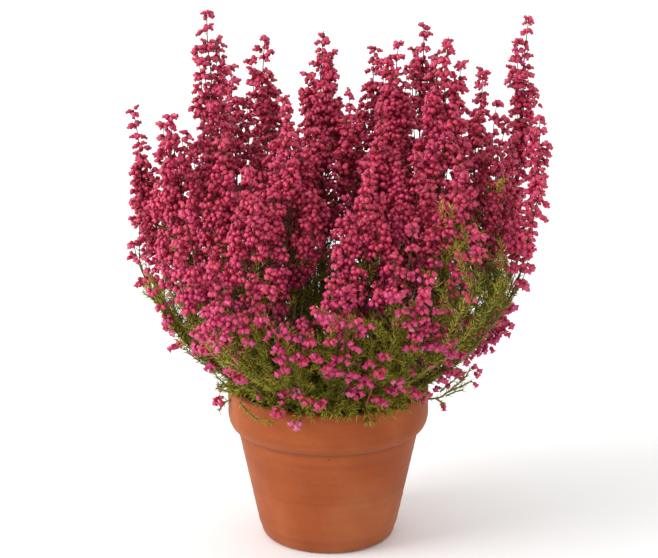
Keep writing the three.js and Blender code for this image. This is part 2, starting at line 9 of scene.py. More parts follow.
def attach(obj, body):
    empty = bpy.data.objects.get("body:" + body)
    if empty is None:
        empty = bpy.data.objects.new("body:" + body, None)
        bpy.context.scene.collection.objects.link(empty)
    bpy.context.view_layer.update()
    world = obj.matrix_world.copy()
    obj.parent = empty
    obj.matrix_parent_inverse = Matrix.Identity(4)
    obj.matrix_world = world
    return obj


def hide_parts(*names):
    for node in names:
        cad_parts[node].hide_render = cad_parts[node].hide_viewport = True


# A potted cape heath in flower. Shapes are worked out in millimetres and made in metres.
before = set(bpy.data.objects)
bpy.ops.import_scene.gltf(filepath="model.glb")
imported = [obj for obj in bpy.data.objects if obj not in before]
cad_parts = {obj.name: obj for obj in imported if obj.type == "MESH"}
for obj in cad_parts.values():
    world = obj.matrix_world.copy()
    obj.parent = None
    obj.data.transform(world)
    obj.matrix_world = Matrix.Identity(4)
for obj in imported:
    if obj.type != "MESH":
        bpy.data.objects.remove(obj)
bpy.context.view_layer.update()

MM = 0.001
SEED = 7
UP = np.array([0.0, 0.0, 1.0])
FULL_TURN = 2 * math.pi

# Camera, from the pot's outline in the photo
VIEW_TILT = math.radians(14.3)
VIEW_DISTANCE = 1000
VIEW_TARGET = np.array([0.5, 0, 158])
VIEW_FOCAL_PIXELS = 1696
VIEW_WIDTH = 658
VIEW_HEIGHT = 558
SENSOR_WIDTH = 36

# Pot and soil, close to the solids but with a softer foot
FOOT_RADIUS = 40.5
FOOT_EDGE = 4.6
BASE_KINK_RADIUS = 42.1
BASE_KINK_HEIGHT = 8.7
BODY_TOP_RADIUS = 54.5
BODY_TOP_HEIGHT = 68
RIM_RADIUS = 60.1
RIM_BULGE_HEIGHT = 77.7
POT_HEIGHT = 93
RIM_ROUNDING = 1.5
WALL = 5
FLOOR = 7
DRAIN_RADIUS = 6.5
SOIL_LEVEL = 81.5
SOIL_GAP = 0.4
POT_SIDES = 120
SOIL_SIDES = 72
SOIL_RINGS = 20
CRUMBS = 300

# Dark marks on the clay, as bearing and height with a size, and chips, with a size and a depth
CLAY_SPOTS = [
    ((-1.56, 64.5), 0.7), ((-1.83, 1.6), 1.3), ((-1.64, 1.2), 1.0), ((0.9, 30), 0.8), ((2.4, 51), 0.9),
]
CLAY_CHIPS = [((-0.06, 13.5), 3.2, 0.9), ((3.11, 17.0), 1.6, 0.6), ((1.3, 78), 2.4, 0.6)]

# How the stems open out with height and the spikes taper, as in the solids
NARROWING = 0.76
OPENING_HEIGHT = 50
BEND_HEIGHT = SOIL_LEVEL + 3.5
FORK_HEIGHT = 94.5
FORK_OPENING = 42
FORK_CURVE = 0.8
ROOT_DEPTH = 14
SHORT_TAPER = 34
LONG_TAPER = 72
LOW_TIP = 215
HIGH_TIP = 285

# Small bends of a stem above the fork, to both sides and to front and back
SWAY = 0.9
SWAY_BLEND = 40
SWAY_WAVES = (10.5, 13.5)

# Reach of the flowers round a spike: at its tip, share at its lowest flowers and where it is fullest
TIP_REACH = 4.6
START_FULLNESS = 0.55
START_BLEND = 30
FULL_REACH = 16

# Below a height the broad spikes near the middle reach farther, which closes the gaps between them
BROAD_REACH = 11
FILLING_REACH = 22
FILLED_HEIGHT = 208
FILLED_BLEND = 40
INNER_TIPS = 66

# Spikes and stems that would stand farther out than this at full spread are outer ones
OUTER_SHARE = 75
FRINGE_SHARE = 60

# Room taken beside a spike where no neighbour stands
FREE_ROOM = 60.0

# Spikes seen in the photo: stem, pixel of the tip, its depth behind the pot's axis, height of the
# lowest flowers and the reach of the flowers where the spike is fullest
SEEN_SPIKES = [
    (1, 134, 108, 34, 132, 8.2), (1, 133, 241, -2, 122, 9), (1, 172, 112, -10, 160, FULL_REACH),
    (4, 222, 140, -29, 172, FULL_REACH), (3, 152, 290, -41, 117, 10), (3, 185, 205, -60, 124, FULL_REACH),
    (4, 208, 11, 14, 186, 13.5), (2, 232, 64, 44, 186, FULL_REACH), (6, 263, 34, 70, 186, 12.5),
    (7, 212, 258, -95, 119, FULL_REACH), (7, 270, 270, -97, 117, FULL_REACH),
    (7, 250, 165, -69, 150, FULL_REACH), (8, 287, 128, -42, 172, FULL_REACH),
    (8, 288, 100, -6, 186, FULL_REACH), (8, 322, 29, 22, 190, 13.5), (9, 375, 48, 67, 186, FULL_REACH),
    (10, 397, 42, 24, 190, 13), (10, 423, 20, 55, 186, FULL_REACH), (11, 384, 106, -12, 186, FULL_REACH),
    (11, 448, 35, -6, 180, FULL_REACH), (11, 418, 150, -39, 168, FULL_REACH),
    (12, 368, 165, -64, 150, FULL_REACH), (12, 335, 250, -97, 117, FULL_REACH),
    (13, 458, 160, -63, 152, FULL_REACH), (13, 412, 222, -97, 120, FULL_REACH),
    (13, 482, 232, -91, 136, FULL_REACH), (14, 482, 66, 31, 180, 12.5), (14, 528, 13, 45, 166, 7.4),
    (16, 500, 145, -1, 172, FULL_REACH), (16, 521, 281, 1, 118, 7), (17, 541, 116, -26, 170, 7),
    (17, 541, 175, -52, 158, 7),
]

# Spikes at the back: stem, place of the tip and height of the lowest flowers
HIDDEN_SPIKES = [
    (2, -105, 65, 226, 130), (5, -85, 90, 222, 128), (5, -52, 97, 200, 120), (6, -19, 97, 232, 128),
    (6, -6, 56, 230, 186), (9, 13, 97, 200, 120), (9, 47, 97, 226, 124), (15, 78, 94, 222, 128),
    (15, 100, 73, 222, 132),
]

# Spikes that are full of flowers only above a height, and how much higher the flowers of some begin
LATE_SPIKES = {24: 196, 25: 170, 26: 208, 30: 150, 32: 184}
RAISED_FLOWERS = {24: 42, 25: 20, 26: 50, 29: 28, 31: 24, 32: 26}

# Shoots that show beside a spike's own tip: spike, pixel and depth of the tip, length in flower
SIDE_TIPS = [
    (3, 163, 124, -8, 22), (3, 186, 131, -12, 20), (14, 284, 98, -4, 24), (15, 331, 52, 20, 26),
    (15, 349, 90, 12, 34), (16, 384, 62, 60, 24), (17, 390, 54, 24, 20), (20, 461, 62, -4, 24),
    (29, 497, 102, 6, 36), (28, 519, 38, 40, 22), (31, 532, 130, -20, 18), (22, 346, 196, -30, 26),
    (23, 333, 232, -40, 26), (23, 342, 246, -50, 24), (7, 222, 150, 6, 28), (7, 210, 146, 0, 26),
    (15, 346, 116, 0, 32), (15, 341, 150, -10, 30), (14, 312, 128, -20, 30), (16, 356, 122, 10, 30),
    (2, 134, 200, 6, 26), (2, 142, 216, 10, 24), (5, 160, 250, -46, 22), (2, 146, 256, -14, 20),
    (29, 506, 116, 4, 34), (29, 514, 136, 4, 32), (28, 509, 160, 20, 28), (31, 545, 152, -22, 22),
]

# Leafy tips seen in the photo, as pixels with a depth
GREEN_TIPS = [
    (486, 262, -20), (492, 274, -28), (478, 282, -40), (470, 300, -40), (488, 320, -8), (480, 308, -20),
    (499, 286, 0), (462, 290, -60), (452, 300, -66), (440, 318, -72), (327, 266, -40), (333, 280, -50),
    (320, 290, -40), (498, 268, -10), (505, 276, -4), (490, 262, 14), (496, 274, 10), (489, 284, 16),
    (500, 262, 24), (484, 270, 30), (493, 254, 30), (503, 290, 8), (233, 388, -22), (241, 393, -30),
    (250, 397, -36), (259, 399, -42), (246, 387, -32), (264, 395, -46), (272, 400, -50), (228, 381, -20),
    (322, 238, 10), (327, 246, 20), (318, 300, 0), (325, 318, -10), (456, 298, -20), (462, 308, -10),
    (436, 326, -20), (448, 310, -30), (150, 282, -30), (158, 296, -34), (146, 290, -10), (311, 366, -76),
    (313, 376, -70), (309, 384, -64), (316, 392, -58),
]

# The farthest from the middle that flowers open, by height
EDGE_HEIGHTS = (100, 118, 146, 166, 190, 215)
EDGE_REACHES = (84, 92, 108, 120, 128, 140)

# Sprigs that hang out over the rim, as pixels of the photo with a depth
SPRIG_PATHS = [
    [(238, 392, -20), (228, 386, -22), (219, 379, -22), (213, 371, -22)],
    [(236, 394, -20), (226, 391, -20), (216, 388, -20)],
    [(446, 396, -25), (455, 392, -25), (463, 390, -25)],
    [(440, 392, -25), (449, 384, -25), (457, 378, -25)],
    [(244, 404, -18), (236, 399, -17), (226, 401, -16), (219, 411, -15)],
    [(428, 399, -26), (440, 398, -25), (452, 389, -25), (464, 379, -25), (470, 370, -25)],
    [(448, 392, -25), (460, 387, -25), (472, 381, -25)],
    [(436, 399, -25), (444, 404, -25)],
    [(240, 402, -50), (247, 412, -52), (255, 418, -54), (264, 421, -56), (273, 423, -57)],
]

# The reddish bare twig at the front
RED_TWIG = [(378, 362, -72), (375, 380, -70), (370, 394, -67), (366, 405, -63)]

# Bells on the hanging sprigs
SPRIG_BELLS = [
    (219, 397, -16), (224, 397, -14), (222, 402, -18), (471, 369, -25), (474, 372, -27), (473, 382, -25),
    (461, 369, -25), (456, 374, -26), (458, 378, -23), (448, 389, -25), (444, 405, -25), (437, 386, -24),
    (217, 400, -15), (220, 393, -15), (469, 366, -26), (477, 370, -25), (455, 378, -25), (453, 373, -24),
    (443, 403, -24), (441, 388, -24), (215, 372, -22), (211, 369, -21),
]

# Small clusters low among the leaves: pixel, depth and number of bells
LOW_CLUSTERS = [
    (278, 411, -59, 4), (296, 423, -66, 3), (260, 402, -52, 1), (284, 402, -58, 1), (324, 398, -66, 1),
    (286, 391, -62, 5), (297, 389, -64, 4), (351, 386, -68, 5), (367, 382, -68, 4), (391, 389, -62, 5),
    (399, 386, -62, 4), (238, 375, -50, 4), (229, 371, -48, 3), (276, 374, -66, 4), (267, 373, -62, 2),
    (330, 372, -78, 5), (382, 400, -60, 2), (412, 368, -60, 4), (426, 394, -40, 2), (210, 363, -40, 4),
    (499, 296, 4, 5), (507, 304, 3, 5), (503, 316, 2, 6), (493, 307, -6, 5), (497, 329, 1, 5),
    (484, 321, -9, 5), (487, 334, -2, 5), (474, 328, -14, 5), (474, 341, -6, 5), (461, 335, -20, 5),
    (463, 350, -12, 4), (444, 300, -72, 5), (449, 312, -78, 4), (420, 330, -88, 5), (432, 324, -84, 4),
    (416, 310, -90, 5), (511, 305, 2, 4), (505, 312, 4, 5), (509, 322, 6, 4), (499, 321, 0, 5),
    (502, 331, 2, 5), (494, 338, -2, 5), (489, 343, -4, 4), (480, 338, -8, 5), (481, 348, -6, 4),
    (469, 346, -12, 5), (475, 354, -8, 4), (461, 343, -18, 5), (455, 351, -20, 4), (465, 357, -14, 4),
    (490, 314, -10, 5), (497, 309, -6, 4), (451, 340, -40, 5), (441, 347, -44, 5), (430, 352, -52, 5),
    (475, 318, -30, 4), (463, 322, -40, 5),
]

# Clusters on the front of the leaves, as pixels
FRONT_CLUSTERS = [
    (269, 334), (285, 331), (278, 346), (260, 318), (317, 312), (328, 316), (340, 321), (355, 321),
    (367, 327), (355, 345), (344, 357), (330, 341), (310, 341), (293, 336), (296, 355), (280, 357),
    (283, 369), (317, 355), (328, 368), (337, 371), (353, 375), (369, 361), (379, 370), (385, 356),
    (365, 380), (408, 325), (424, 327), (412, 334), (396, 297), (401, 310), (428, 343), (410, 348),
    (437, 309), (212, 337), (233, 370), (246, 326), (226, 333), (196, 331), (215, 350), (241, 377),
]

# Clusters all round between two heights; over the bare stretch of rim they start higher
SCATTERED_CLUSTERS = 75
SCATTERED_HEIGHTS = (102, 152)
BARE_BELOW = 118

# Clusters below this row of the photo are paler
PALE_ROW = 420
PALE_TONE = 0.2

# Shoots at each leafy tip, and how far below it they spring from a stem
TIP_SHOOTS = 4
TIP_SCATTER = 4
TIP_DROP = 26
LOWEST_FOOT = 88

# Bells: size and tone, from dark to pale, which deepens with height
BELL_LENGTH = 3.8
BELL_RADIUS = 1.55
BELL_VARIETY = 0.085
SPRIG_BELL_SIZE = 0.95
SPRIG_BELL_TONE = 0.66
LOW_TONE = 0.77
HIGH_TONE = 0.5
DEEPENING_FROM = 110
DEEPENING_OVER = 110

# Steps between the clumps of bells on a shoot, wider near a spike's top, and the clump at the tip
TIER_STEP = 5.3
LOOSE_TIER_STEP = 6.6
LOOSE_TOP = 8
LOOSE_OVER = 62
FIRST_CLUMP = 1.2
LONE_TIP = 5
BELL_TURN = 2.4

# Shoots of a spike: radius that one fills, gap between two, points of a path and the spike's taper;
# spikes with a long taper get extra shoots at every third place round the top
COLUMN_RADIUS = 4.7
SHOOT_GAP = 8.6
SIDE_POINTS = 6
TIP_LENGTH = 10
TAPER_SHARE = 0.62
TALL_TAPER = 40

# Height above its lowest flowers at which a spike is full, less for spikes that start high
FULL_ABOVE_START = 58
LOW_START = 150
FILLING_FROM = 42
FILLING_OVER = 46

# Few flowers open low down, where they are of the flared kind
SPARSE_HEIGHT = 105
DENSE_HEIGHT = 184
SPARSE_SHARE = 0.14
FLARED_BELOW = 150

# Needles, in rings along a shoot
NEEDLE_LENGTH = 5.0
NEEDLE_RADIUS = 0.34
NEEDLE_LEAN = 0.72
NEEDLE_STEP = 2.1
NEEDLE_RING = 3

# Leafy shoots, and the heights up to which shoots and their leaves are made
TWIG_POINTS = 5
FRINGE_SHOOTS = 13
INNER_LEAVES_BELOW = 140
LEAFY_BELOW = 176
LEAVES_SHOW_BELOW = 150

# Twigs between the stems: upright ones, lower towards the outside, and thin ones across them
INNER_TWIGS = 136
INNER_REACH = 124
INNER_TOPS = (140, 188)
INNER_DROP = 24
TANGLE_TWIGS = 26

# Tufts that lean over the rim: all round, more at the front and hardly any over the bare stretch
RIM_TUFTS = 30
FRONT_TUFTS = 15
TUFT_SHOOTS = 5
FRONT_ARC = (-2.02, -0.5)
BARE_ARC = (-2.8, -1.92)
BARE_ARC_LOSS = 0.85

# The widest reach of the leaves, by height
BUSH_HEIGHTS = (87, 110, 122, 135, 150, 165)
BUSH_REACHES = (63, 82, 91, 97, 103, 108)

# Share of the view that must be open for bells, finer bells and stalks, and how far out to look
DARK_VIEW = 0.2
DIM_VIEW = 0.44
PLAIN_VIEW = 0.62
OPEN_VIEW = 0.81
STALK_VIEW = 0.78
FLARED_VIEW = 0.6
LOOK_OUT = 3

# Florets of its own spike that a look may pass, and how far behind each it goes on
LOOK_PASSES = 6
LOOK_STEP = 0.05

# Share of the clumps that open where nothing shows
HIDDEN_SHARE = 0.35

# Round the main shoot of a spike that reaches farther than this, most clumps are left out and the
# others are plainer
CORE_REACH = 8.5
CORE_LOSS = 0.7
CORE_VIEW = 0.5

# Stems and twigs: radii from the start to the end of a path, then shades from brown bark to green
TRUNK_RADII = (1.75, 1.35)
BRANCH_RADII = (0.95, 0.5)
SPIKE_RADII = (0.72, 0.24)
SIDE_RADII = (0.42, 0.2)
LEAFY_RADII = (0.4, 0.2)
RIM_RADII = (0.45, 0.22)
INNER_RADII = (0.7, 0.25)
SPRIG_RADII = (0.62, 0.35)
RED_RADII = (0.35, 0.6)
TANGLE_RADII = (0.5, 0.42, 0.25)
STALK_RADIUS = 0.24
SPRIG_STALK_RADIUS = 0.18
TRUNK_SHADE = 0.18
SPIKE_SHADE = 0.3
SIDE_SHADE = 0.45
STALK_SHADE = 0.4
INNER_SHADE = 0.4
SPRIG_STALK_SHADE = 0.6
CLUSTER_SHADE = 0.7
RED_SHADE = 0.72
RIM_SHADE = 0.8
LEAFY_SHADE = 0.85
BRANCH_SHADE = 0.9
SPRIG_SHADE = 1.0

# Rectangular lights: name, place, point aimed at, sides and power
LIGHTS = [
    ("key_light", (-2.75, -1.05, 1.85), (0, 0, 0.17), (1.8, 1.8), 80),
    ("floor_light", (0, 3.6, 3.0), (0, 3.6, 0), (11, 6), 90),
]
SKY_STRENGTH = 0.86
FLOOR_CORNERS = [(-9, -6, 0), (9, -6, 0), (9, 14, 0), (-9, 14, 0)]


def mix(a, b, t):
    return a + (b - a) * t


def smooth(value):
    t = np.clip(value, 0, 1)
    return t * t * (3 - 2 * t)


def unit(vectors):
    vectors = np.asarray(vectors, float)
    return vectors / np.maximum(np.linalg.norm(vectors, axis=-1, keepdims=True), 1e-9)


def outward(bearing):
    """The level direction at a bearing."""
    return np.array([math.cos(bearing), math.sin(bearing), 0])


def circle(turns):
    """The level directions at the bearings of an array."""
    return np.stack([np.cos(turns), np.sin(turns), 0 * turns], axis=-1)


def at_pixel(u, v, depth):
    """The point behind a photo pixel, on the plane y = depth."""
    forward = np.array([0, math.cos(VIEW_TILT), -math.sin(VIEW_TILT)])
    up = np.array([0, math.sin(VIEW_TILT), math.cos(VIEW_TILT)])
    eye = VIEW_TARGET - VIEW_DISTANCE * forward
    ray = forward + np.array([(u - VIEW_WIDTH / 2) / VIEW_FOCAL_PIXELS, 0, 0])
    ray = ray + up * (VIEW_HEIGHT / 2 - v) / VIEW_FOCAL_PIXELS
    return eye + ray * (depth - eye[1]) / ray[1]


# Where each stem and spike runs

def spread(height):
    """Share of the full spread reached at a height."""
    above = np.maximum(height, BEND_HEIGHT) - SOIL_LEVEL
    return 1 - NARROWING * np.exp(-above / OPENING_HEIGHT)


class Spike:
    """One flower spike: where its stem runs and how far its flowers reach."""

    def __init__(self, number, stem, tip, start, girth):
        self.number = number
        self.stem = stem
        self.top = tip[2]
        self.start = start
        inner = girth > BROAD_REACH and math.hypot(*tip[:2]) < INNER_TIPS
        self.girth = girth
        self.low_girth = FILLING_REACH if inner else girth
        self.share = np.array(tip[:2]) / spread(tip[2])
        self.outer = np.linalg.norm(self.share) > OUTER_SHARE
        self.stem_share = self.share
        full_above = FULL_ABOVE_START if start < LOW_START else FULL_ABOVE_START / 3
        self.full_from = LATE_SPIKES.get(number, start + full_above)
        self.taper = mix(SHORT_TAPER, LONG_TAPER, smooth((tip[2] - LOW_TIP) / (HIGH_TIP - LOW_TIP)))
        self.phases = np.random.default_rng([SEED, number]).uniform(0, FULL_TURN, 2)

    def axis(self, height):
        """With its stem up to the fork, then more and more on its own."""
        height = np.asarray(height, float)
        apart = np.clip((height - FORK_HEIGHT) / FORK_OPENING, 0, 1)[..., None] ** FORK_CURVE
        share = self.stem_share + apart * (self.share - self.stem_share)
        return np.concatenate([share * spread(height)[..., None], height[..., None]], axis=-1)

    def core(self, height):
        """The axis with the small bends of a grown stem."""
        height = np.asarray(height, float)
        sway = SWAY * np.clip((height - FORK_HEIGHT) / SWAY_BLEND, 0, 1)
        across = sway * np.sin(height / SWAY_WAVES[0] + self.phases[0])
        back = sway * np.cos(height / SWAY_WAVES[1] + self.phases[1])
        return self.axis(height) + np.stack([across, back, 0 * across], axis=-1)

    def reach(self, height):
        """How far the flowers reach from the axis: less at the lowest ones and towards the tip."""
        fullness = smooth((self.top - TIP_LENGTH - height) / (TAPER_SHARE * self.taper))
        fullness = fullness * mix(START_FULLNESS, 1, smooth((height - self.start) / START_BLEND))
        girth = mix(self.low_girth, self.girth, smooth((height - FILLED_HEIGHT) / FILLED_BLEND))
        return mix(TIP_REACH, girth, fullness)


def make_spikes():
    """Every spike, with the mean course of its stem's spikes to start out on."""
    made = []
    for stem, u, v, depth, start, girth in SEEN_SPIKES:
        made.append(Spike(len(made) + 1, stem, at_pixel(u, v, depth), start, girth))
    for stem, x, y, top, start in HIDDEN_SPIKES:
        made.append(Spike(len(made) + 1, stem, (x, y, top), start, FULL_REACH))
    for spike in made:
        spike.stem_share = np.mean([other.share for other in made if other.stem == spike.stem], axis=0)
    return made


spikes = make_spikes()


def room_at(spike, height, angle):
    """The largest reach from a spike's axis, in a direction, that stays out of its neighbours' room."""
    centre = spike.axis(height)
    room = np.full(np.shape(height), FREE_ROOM)
    for other in spikes:
        if other is spike:
            continue
        across = other.axis(height) - centre
        distance = np.linalg.norm(across, axis=-1) + 1e-6
        facing = (across[..., 0] * np.cos(angle) + across[..., 1] * np.sin(angle)) / distance
        beside = (facing > 0.02) & (height < other.top + 3)
        room = np.where(beside, np.minimum(room, distance / 2 / np.maximum(facing, 0.02)), room)
    return room


# How open the view out of a place is, past the other spikes of the solids

def look_directions():
    """Straight up, ten directions a little above level and six steeper ones."""
    directions = [UP]
    for degrees, count in ((8, 10), (40, 6)):
        rise = math.radians(degrees)
        for turn in np.arange(count) * FULL_TURN / count:
            directions.append(math.cos(rise) * outward(turn) + math.sin(rise) * UP)
    return directions


def gather_spikes():
    """The solids' flower spikes as one tree of faces, and the spike that each face belongs to."""
    points, faces, owners = [], [], []
    for spike in spikes:
        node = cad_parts[f"flower_spike_{spike.number:02d}"]
        node.data.calc_loop_triangles()
        first = len(points)
        points.extend(vertex.co / MM for vertex in node.data.vertices)
        for triangle in node.data.loop_triangles:
            faces.append([first + index for index in triangle.vertices])
            owners.append(spike.number)
    return BVHTree.FromPolygons(points, faces), owners


# Looks all round, and a few towards the camera
LOOKS = [Vector(direction) for direction in look_directions()]
FRONT_LOOKS = [Vector((math.sin(turn), -math.cos(turn), 0.25)).normalized() for turn in (-0.1, 0, 0.1)]
spike_tree, face_owners = gather_spikes()


def openness(place, number, looks=LOOKS):
    """Share of the looks out from a place that meet no other spike than its own."""
    free = 0
    for look in looks:
        start = Vector(place)
        for _ in range(LOOK_PASSES):
            hit, _, face, _ = spike_tree.ray_cast(start, look)
            if hit is None or face_owners[face] != number:
                break
            start = hit + look * LOOK_STEP
        free += hit is None
    return free / len(looks)


# Mesh making

def turned_frames(along, spin):
    """Two directions across each one given, turned about it by spin, and the direction itself."""
    along = unit(along)
    helper = np.where(np.abs(along[..., 2:]) < 0.9, UP, [1.0, 0, 0])
    side = unit(np.cross(helper, along))
    other = np.cross(along, side)
    c, s = np.cos(spin)[..., None], np.sin(spin)[..., None]
    return c * side + s * other, c * other - s * side, along


def turned_shape(profile, sides, lobes=0.0, lobe_count=2):
    """A small closed shape turned from heights and radii between two points, 1 long.
    The last ring may be lobed. Gives points, triangles and how far along each point is."""
    points = [(0.0, 0.0, profile[0][0])]
    for place, (height, radius) in enumerate(profile[1:-1]):
        last = place == len(profile) - 3
        for side in range(sides):
            angle = FULL_TURN * side / sides
            lobe = lobes * math.cos(lobe_count * angle) if last else 0
            points.append((radius * (1 + lobe) * math.cos(angle), radius * (1 + lobe) * math.sin(angle),
                           height + 0.12 * lobe))
    points.append((0.0, 0.0, profile[-1][0]))
    faces = []
    rings = len(profile) - 2
    for side in range(sides):
        following = (side + 1) % sides
        faces.append((0, 1 + following, 1 + side))
        for ring in range(rings - 1):
            a, b = 1 + ring * sides + side, 1 + ring * sides + following
            faces.append((a, b, b + sides))
            faces.append((a, b + sides, a + sides))
        top = 1 + (rings - 1) * sides
        faces.append((top + side, top + following, len(points) - 1))
    points = np.array(points)
    return points, np.array(faces), np.clip(points[:, 2], 0, 1)


# Small shapes that are copied, each with the heights and radii of its rings
OPEN_BELL = turned_shape(
    [(0, 0), (0.1, 0.72), (0.42, 1.02), (0.8, 0.5), (1.0, 0.76), (0.88, 0)], 5, 0.24)
FLARED_BELL = turned_shape([(0, 0), (0.3, 0.92), (0.78, 0.74), (1.0, 1.42), (0.84, 0)], 8, 0.2, 4)
PLAIN_BELL = turned_shape([(0, 0), (0.18, 0.88), (0.62, 0.9), (1.0, 0)], 5)
SMALL_BELL = turned_shape([(0, 0), (0.2, 0.92), (0.66, 0.86), (1.0, 0)], 4)
DIM_BELL = turned_shape([(0, 0), (0.42, 1.05), (1.0, 0)], 4)
CRUMB = turned_shape([(0, 0), (0.25, 0.9), (0.7, 1.0), (1.0, 0)], 5)
NEEDLE = (
    np.array([(1, 0, 0), (-0.5, 0.866, 0), (-0.5, -0.866, 0), (0.0, 0.0, 1.0)]),
    np.array([(0, 2, 1), (0, 1, 3), (1, 2, 3), (2, 0, 3)]),
    np.array([0.0, 0, 0, 1]))


def put(name, data):
    """An object in the scene."""
    made = bpy.data.objects.new(name, data)
    bpy.context.scene.collection.objects.link(made)
    return made


class Growth:
    """Parts of one piece, gathered before its mesh is made. Besides its finish, every point has a
    tone, from dark to pale, and how far along its own part it is; the materials read both."""

    def __init__(self):
        self.parts = []

    def add(self, points, faces, finish, tone, along):
        tone = np.broadcast_to(np.asarray(tone, float), len(points))
        self.parts.append((points, faces, finish, tone, np.broadcast_to(along, len(points))))

    def rods(self, paths, radii, sides, shades):
        """Thin rods along lines of points, closed at both ends."""
        if not len(paths):
            return
        paths = np.asarray(paths, float)
        radii = np.broadcast_to(np.asarray(radii, float), paths.shape[:2])
        count, places = paths.shape[:2]
        run = unit(np.gradient(paths, axis=1))
        mean = unit(run.mean(axis=1))[:, None]
        helper = np.where(np.abs(mean[..., 2:]) < 0.8, UP, [1.0, 0, 0])
        side = unit(np.cross(np.broadcast_to(helper, run.shape), run))[:, :, None]
        other = np.cross(run[:, :, None], side)
        angle = (FULL_TURN * np.arange(sides) / sides)[None, None, :, None]
        ring = side * np.cos(angle) + other * np.sin(angle)
        points = paths[:, :, None] + radii[:, :, None, None] * ring
        index = np.arange(count * places * sides).reshape(count, places, sides)
        a, c = index[:, :-1], index[:, 1:]
        b, d = np.roll(a, -1, axis=2), np.roll(c, -1, axis=2)
        faces = [np.stack([a, b, d], -1).reshape(-1, 3), np.stack([a, d, c], -1).reshape(-1, 3)]
        for corner in range(1, sides - 1):
            start, end = index[:, 0], index[:, -1]
            faces.append(np.stack([start[:, 0], start[:, corner + 1], start[:, corner]], -1))
            faces.append(np.stack([end[:, 0], end[:, corner], end[:, corner + 1]], -1))
        along = np.tile(np.repeat(np.linspace(0, 1, places), sides), count)
        self.add(points.reshape(-1, 3), np.concatenate(faces), "twig",
                 np.repeat(shades, places * sides), along)

    def twig(self, path, radii, shade, sides=3):
        """One rod along a path, its radius running from the first value to the second."""
        self.rods([path], np.linspace(*radii, len(path)), sides, [shade])

    def copies(self, shape, places, along, spin, radius, length, finish, tone):
        """One copy of a small shape at each place, laid along a direction."""
        points, faces, share = shape
        a, b, c = turned_frames(along, spin)
        across = np.asarray(radius, float)[:, None, None]
        onward = np.asarray(length, float)[:, None, None]
        sideways = points[None, :, :1] * a[:, None] + points[None, :, 1:2] * b[:, None]
        placed = places[:, None] + across * sideways
        placed = placed + onward * points[None, :, 2:] * c[:, None]
        count, size = placed.shape[:2]
        every = faces[None] + (np.arange(count) * size)[:, None, None]
        self.add(placed.reshape(-1, 3), every.reshape(-1, 3), finish,
                 np.repeat(tone, size), np.tile(share, count))

    def make(self, name, slot, nodes=()):
        """Make the mesh of everything gathered, in place of the nodes named."""
        finishes = list(dict.fromkeys(part[2] for part in self.parts))
        starts = np.cumsum([0] + [len(part[0]) for part in self.parts])
        points = np.concatenate([part[0] for part in self.parts]) * MM
        faces = np.concatenate([part[1] + start for part, start in zip(self.parts, starts)])
        finish = np.concatenate([np.full(len(part[1]), finishes.index(part[2])) for part in self.parts])
        mesh = bpy.data.meshes.new(name)
        mesh.vertices.add(len(points))
        mesh.vertices.foreach_set("co", points.ravel().astype(np.float32))
        mesh.loops.add(faces.size)
        mesh.loops.foreach_set("vertex_index", faces.ravel().astype(np.int32))
        mesh.polygons.add(len(faces))
        mesh.polygons.foreach_set("loop_start", np.arange(0, faces.size, 3, dtype=np.int32))
        mesh.polygons.foreach_set("material_index", finish.astype(np.int32))
        mesh.polygons.foreach_set("use_smooth", np.ones(len(faces), bool))
        for label, place in (("tone", 3), ("along", 4)):
            values = np.concatenate([part[place] for part in self.parts]).astype(np.float32)
            mesh.attributes.new(label, "FLOAT", "POINT").data.foreach_set("value", values)
        mesh.update(calc_edges=True)
        for finish_name in finishes:
            mesh.materials.append(FINISHES[finish_name])
        piece = put(name, mesh)
        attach(piece, "root")
        if nodes:
            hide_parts(*nodes)


# Materials

WHITE = (255, 255, 255)


def add_node(tree, kind, inputs=None, **settings):
    """A shader node with its settings; each input is a value or the socket that feeds it."""
    made = tree.nodes.new(kind)
    for name, value in settings.items():
        setattr(made, name, value)
    for name, value in (inputs or {}).items():
        if isinstance(value, bpy.types.NodeSocket):
            tree.links.new(value, made.inputs[name])
        else:
            made.inputs[name].default_value = value
    return made


def ramp(tree, value, stops):
    """A colour ramp; each stop is a place and an sRGB colour from 0 to 255."""
    made = add_node(tree, "ShaderNodeValToRGB", {"Fac": value})
    elements = made.color_ramp.elements
    while len(elements) < len(stops):
        elements.new(0.5)
    for element, (place, colour) in zip(elements, stops):
        element.position = place
        element.color = linear(colour)
    return made.outputs["Color"]


def linear(colour):
    """An sRGB colour from 0 to 255 as the shaders take it."""
    values = [channel / 255 for channel in colour]
    values = [v / 12.92 if v <= 0.04045 else ((v + 0.055) / 1.055) ** 2.4 for v in values]
    return (*values, 1)


def blended(tree, a, b, share, blend="MIX"):
    """Two colours blended; the node's sockets for colours have the same names as its others, so
    they go by number."""
    made = add_node(tree, "ShaderNodeMix", data_type="RGBA", blend_type=blend)
    for socket, value in ((made.inputs[0], share), (made.inputs[6], a), (made.inputs[7], b)):
        if isinstance(value, bpy.types.NodeSocket):
            tree.links.new(value, socket)
        else:
            socket.default_value = value
    return made.outputs[2]


def mapped(tree, value, low, high, to_low=0.0, to_high=1.0):
    """A value between low and high, carried over to a range of its own."""
    made = add_node(tree, "ShaderNodeMapRange", {
        "Value": value, "From Min": low, "From Max": high, "To Min": to_low, "To Max": to_high})
    return made.outputs["Result"]


